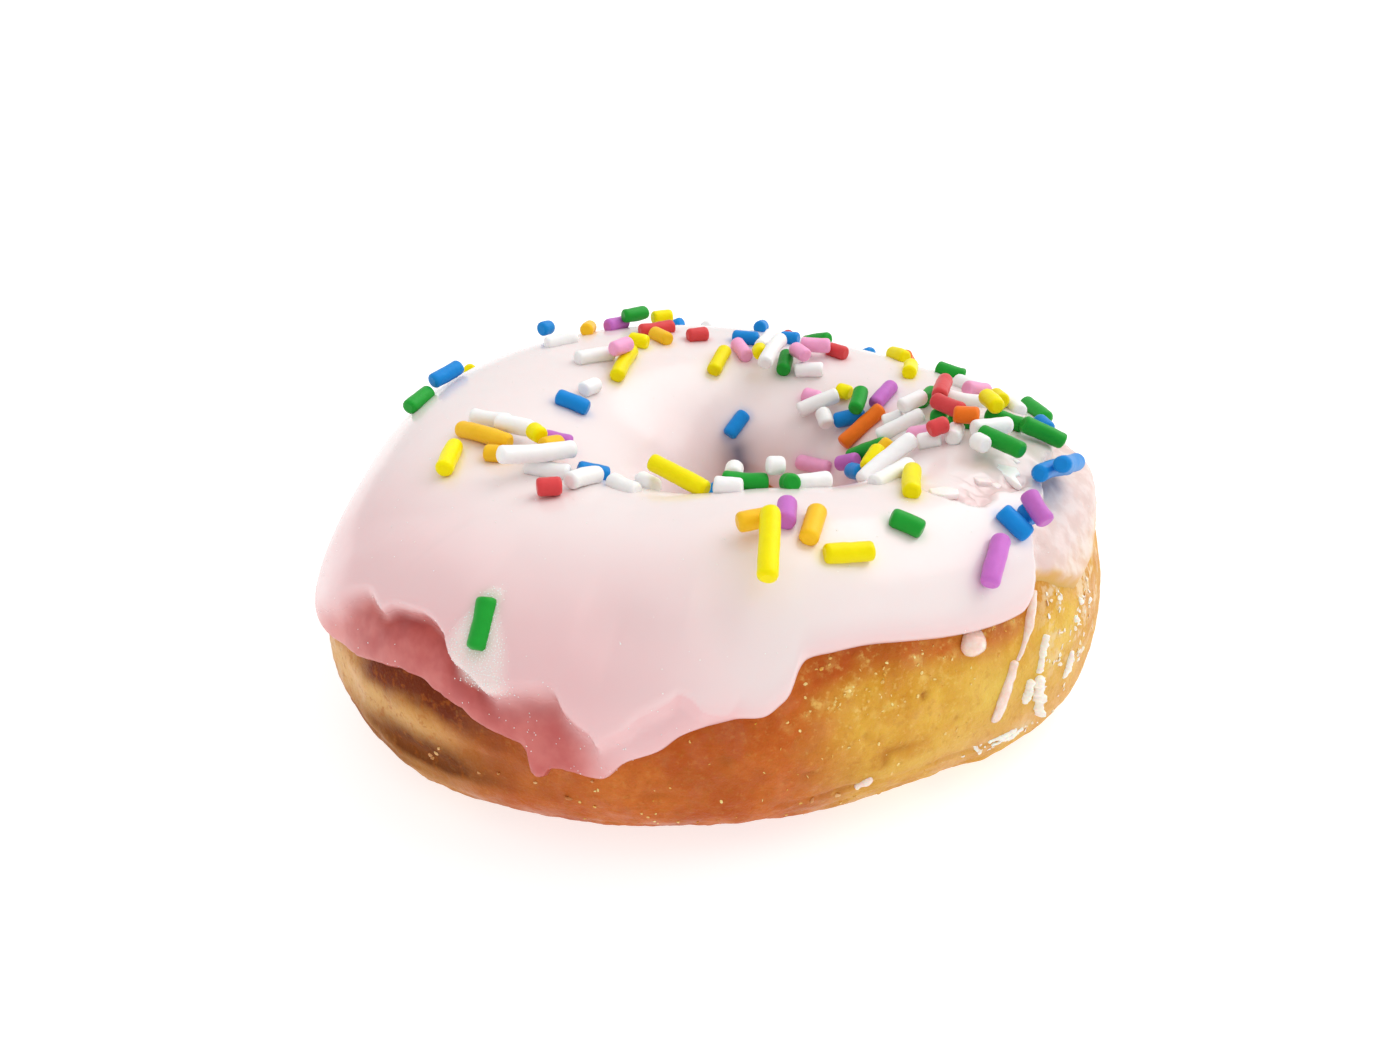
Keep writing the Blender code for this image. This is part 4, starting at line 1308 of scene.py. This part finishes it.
def sugar_rod_tree():
    """Turns line segments into sugar rods with blunt, rounded ends."""
    tree, taken = new_tree("sugar rods", {
        "Middle lines": "NodeSocketGeometry", "Thickness": "NodeSocketFloat", "End length": "NodeSocketFloat",
        "Blunt share": "NodeSocketFloat", "Sides": "NodeSocketInt", "Steps": "NodeSocketInt",
        "Unevenness": "NodeSocketFloat", "Lump size": "NodeSocketFloat", "Material": "NodeSocketMaterial",
    })
    line = add_node(tree, "GeometryNodeMeshToCurve", values={"Mesh": taken["Middle lines"]})
    line = add_node(tree, "GeometryNodeResampleCurve", values={"Curve": line, "Count": taken["Steps"]})
    share = add_node(tree, "GeometryNodeSplineParameter", output="Factor")
    length = add_node(tree, "GeometryNodeSplineLength", output="Length")
    towards_ends = 0.5 - share.maths("COSINE", share * pi) * 0.5
    gathered = share + (towards_ends - share) * 0.7
    from_end = gathered.at_most(1 - gathered) * length
    line = add_node(tree, "GeometryNodeStoreNamedAttribute", {"data_type": "FLOAT", "domain": "POINT"}, {
        "Geometry": line, "Name": "from_end", "Value": from_end,
    })
    bend = add_node(tree, "GeometryNodeInputNamedAttribute", {"data_type": "FLOAT_VECTOR"}, {"Name": "bend"})
    tangent = add_node(tree, "GeometryNodeInputTangent")
    slide = scaled(tree, tangent, (gathered - share) * length)
    shift = summed(tree, slide, scaled(tree, bend, gathered * (1 - gathered) * 4))
    line = add_node(tree, "GeometryNodeSetPosition", values={"Geometry": line, "Offset": shift})
    kept = add_node(tree, "GeometryNodeInputNamedAttribute", {"data_type": "FLOAT"}, {"Name": "from_end"})
    short_of = 1 - (kept / taken["End length"]).at_most(1.0)
    rounding = (1 - short_of * short_of) ** 0.5
    scale = taken["Blunt share"] + (1 - taken["Blunt share"]) * rounding
    ring = add_node(tree, "GeometryNodeCurvePrimitiveCircle", values={
        "Resolution": taken["Sides"], "Radius": taken["Thickness"] * 0.5,
    })
    rod = add_node(tree, "GeometryNodeCurveToMesh", values={
        "Curve": line, "Profile Curve": ring, "Scale": scale, "Fill Caps": True,
    })
    lumps = add_node(tree, "ShaderNodeTexNoise", values={"Scale": 1 / taken["Lump size"], "Detail": 2.0})
    out = add_node(tree, "GeometryNodeInputNormal")
    swell = scaled(tree, out, (lumps - 0.5) * taken["Unevenness"])
    rod = add_node(tree, "GeometryNodeSetPosition", values={"Geometry": rod, "Offset": swell})
    rod = add_node(tree, "GeometryNodeSetShadeSmooth", values={"Geometry": rod, "Shade Smooth": True})
    end_tree(tree, rod, taken["Material"])
    return tree


def make_sprinkles(laid):
    tree = sugar_rod_tree()
    draw = random.Random(ROD_SEED)
    for colour in ROD_COLOURS:
        shape = bmesh.new()
        bend = shape.verts.layers.float_vector.new("bend")
        tone = shape.verts.layers.float.new("tone")
        for kind, (start, end) in laid:
            if kind != colour:
                continue
            along = (end - start).normalized()
            any_way = Vector((draw.uniform(-1, 1), draw.uniform(-1, 1), draw.uniform(-1, 1)))
            aside = along.cross(any_way).normalized()
            sag = aside * draw.uniform(0.0, ROD_MOST_SAG) * (end - start).length
            shade = draw.uniform(0, 1)
            ends = [shape.verts.new(start - along * SPRINKLE_OVERHANG * MM),
                    shape.verts.new(end + along * SPRINKLE_OVERHANG * MM)]
            for corner in ends:
                corner[bend] = sag
                corner[tone] = shade
            shape.edges.new(ends)
        mesh = bpy.data.meshes.new(f"{colour}_lines")
        shape.to_mesh(mesh)
        shape.free()
        piece = grow(f"sprinkles_{colour}", mesh, tree, {
            "Thickness": SPRINKLE_THICKNESS * MM, "End length": ROD_END_LENGTH * MM,
            "Blunt share": ROD_BLUNT_SHARE, "Sides": ROD_SIDES, "Steps": ROD_STEPS,
            "Unevenness": ROD_UNEVENNESS * MM, "Lump size": ROD_LUMP_SIZE * MM, "Material": sugar_rod(colour),
        })
        settle(piece, f"{ROD_SLOTS.get(colour, colour)}_sprinkles")


def strewn_tree():
    """Strews small broken pieces over a surface, as thick as one of its masks says."""
    tree, taken = new_tree("strewn pieces", {
        "Surface": "NodeSocketGeometry", "Mask": "NodeSocketString",
        "Number per square metre": "NodeSocketFloat", "Seed": "NodeSocketInt", "Fineness": "NodeSocketInt",
        "Smallest": "NodeSocketVector", "Largest": "NodeSocketVector", "Breaks": "NodeSocketFloat",
        "Break size": "NodeSocketFloat", "Material": "NodeSocketMaterial",
    })
    mask = add_node(tree, "GeometryNodeInputNamedAttribute", {"data_type": "FLOAT"}, {"Name": taken["Mask"]})
    points = tree.nodes.new("GeometryNodeDistributePointsOnFaces")
    tree.links.new(taken["Surface"].socket, points.inputs["Mesh"])
    tree.links.new((mask * taken["Number per square metre"]).socket, points.inputs["Density"])
    tree.links.new(taken["Seed"].socket, points.inputs["Seed"])
    spots = Wire(tree, points.outputs["Points"])
    tone = add_node(tree, "FunctionNodeRandomValue", {"data_type": "FLOAT"}, {"Seed": 3}, "Value_001")
    spots = add_node(tree, "GeometryNodeStoreNamedAttribute", {"data_type": "FLOAT", "domain": "POINT"}, {
        "Geometry": spots, "Name": "tone", "Value": tone,
    })
    size = add_node(tree, "FunctionNodeRandomValue", {"data_type": "FLOAT_VECTOR"}, {
        "Min": taken["Smallest"], "Max": taken["Largest"], "Seed": 5,
    }, "Value")
    spin = add_node(tree, "FunctionNodeRandomValue", {"data_type": "FLOAT_VECTOR"}, {
        "Min": (-0.5, -0.5, 0.0), "Max": (0.5, 0.5, 2 * pi), "Seed": 9,
    }, "Value")
    turned = add_node(tree, "FunctionNodeRotateEuler", {"rotation_type": "EULER", "space": "LOCAL"}, {
        "Rotation": Wire(tree, points.outputs["Rotation"]), "Rotate By": spin,
    })
    bit = add_node(tree, "GeometryNodeMeshIcoSphere", values={
        "Radius": 0.5, "Subdivisions": taken["Fineness"],
    })
    bits = add_node(tree, "GeometryNodeInstanceOnPoints", values={
        "Points": spots, "Instance": bit, "Rotation": turned, "Scale": size,
    })
    bits = add_node(tree, "GeometryNodeRealizeInstances", values={"Geometry": bits})
    place = add_node(tree, "GeometryNodeInputPosition")
    wear = tree.nodes.new("ShaderNodeTexNoise")
    tree.links.new(place.socket, wear.inputs["Vector"])
    tree.links.new((1 / taken["Break size"]).socket, wear.inputs["Scale"])
    centred = add_node(tree, "ShaderNodeVectorMath", {"operation": "SUBTRACT"}, (
        Wire(tree, wear.outputs["Color"]), (0.5, 0.5, 0.5),
    ), "Vector")
    bits = add_node(tree, "GeometryNodeSetPosition", values={
        "Geometry": bits, "Offset": scaled(tree, centred, taken["Breaks"]),
    })
    bits = add_node(tree, "GeometryNodeSetShadeSmooth", values={"Geometry": bits, "Shade Smooth": False})
    end_tree(tree, bits, taken["Material"])
    return tree


def strew_over(surface, tree, kinds):
    """Strew some kinds of small pieces over a surface."""
    for name, slot, mask, thick, seed, fineness, smallest, largest, breaks, grains in kinds:
        piece = grow(name, surface.data.copy(), tree, {
            "Mask": mask, "Number per square metre": thick / MM ** 2, "Seed": seed, "Fineness": fineness,
            "Smallest": [part * MM for part in smallest], "Largest": [part * MM for part in largest],
            "Breaks": breaks * MM, "Break size": BREAK_SIZE * MM, "Material": grains_of(*grains),
        })
        settle(piece, slot)


# Stage, light and camera

def make_stage():
    bpy.ops.mesh.primitive_plane_add(size=FLOOR_SIZE)
    floor = bpy.context.object
    floor.name = "floor"
    finish = Finish(
        "pale floor", roughness=0.5, base_color=FLOOR_COLOUR, emission_color=FLOOR_GLOW,
        emission_strength=FLOOR_GLOW_STRENGTH,
    )
    floor.data.materials.append(finish.material)
    world = bpy.data.worlds.new("soft surroundings")
    bpy.context.scene.world = world
    world.use_nodes = True
    world.node_tree.nodes["Background"].inputs["Color"].default_value = (1, 1, 1, 1)
    world.node_tree.nodes["Background"].inputs["Strength"].default_value = SURROUNDINGS_STRENGTH


def soft_sun(name, towards, strength, spread, colour):
    """A wide, even light that comes from the given direction."""
    lamp = bpy.data.lights.new(name, "SUN")
    lamp.energy = strength
    lamp.angle = radians(spread)
    lamp.color = colour
    holder = bpy.data.objects.new(name, lamp)
    holder.location = towards
    holder.rotation_euler = Vector(towards).to_track_quat("Z", "Y").to_euler()
    bpy.context.scene.collection.objects.link(holder)


def make_light():
    for name, lamp in LAMPS.items():
        soft_sun(name, *lamp)
    bpy.context.scene.view_settings.view_transform = "Standard"


def make_camera():
    lens = bpy.data.cameras.new("camera")
    lens.sensor_width = SENSOR_WIDTH
    lens.lens = FOCAL_PIXELS / FRAME_WIDTH * SENSOR_WIDTH
    lens.clip_start = 1 * MM
    camera = bpy.data.objects.new("camera", lens)
    bpy.context.scene.collection.objects.link(camera)
    eye = AIM + Vector((0, -cos(CAMERA_ELEVATION), sin(CAMERA_ELEVATION))) * CAMERA_DISTANCE
    ahead = (AIM - eye).normalized()
    right = ahead.cross(Vector((0, 0, 1))).normalized()
    above = right.cross(ahead)
    tilted = ahead * cos(CAMERA_TILT) + above * sin(CAMERA_TILT)
    upright = above * cos(CAMERA_TILT) - ahead * sin(CAMERA_TILT)
    forward = tilted * cos(CAMERA_PAN) - right * sin(CAMERA_PAN)
    sideways = right * cos(CAMERA_PAN) + tilted * sin(CAMERA_PAN)
    rolled_right = sideways * cos(CAMERA_ROLL) + upright * sin(CAMERA_ROLL)
    rolled_up = upright * cos(CAMERA_ROLL) - sideways * sin(CAMERA_ROLL)
    axes = Matrix((rolled_right, rolled_up, -forward)).transposed()
    camera.matrix_world = Matrix.Translation(eye) @ axes.to_4x4()
    bpy.context.scene.camera = camera


make_camera()
sprinkles_laid = lay_sprinkles()
dough_skin = make_dough()
icing_skin = make_icing(sprinkles_laid)
make_sprinkles(sprinkles_laid)
soft_glaze = glaze("soft glaze", (0.87, 0.63, 0.52), (0.92, 0.78, 0.71), 0.10)
dried_glaze = glaze("dried glaze", (0.92, 0.86, 0.76), (0.95, 0.92, 0.86), 0.5)
make_runs("glaze_runs", SOFT_RUNS, 0.0, 0.08, soft_glaze)
make_runs("dried_runs", DRIED_RUNS, 0.0, 0.75, dried_glaze)
make_broken_bits()
strewn_pieces = strewn_tree()
strew_over(dough_skin, strewn_pieces, STREWN_ON_DOUGH)
strew_over(icing_skin, strewn_pieces, STREWN_ON_ICING)
make_stage()
make_light()
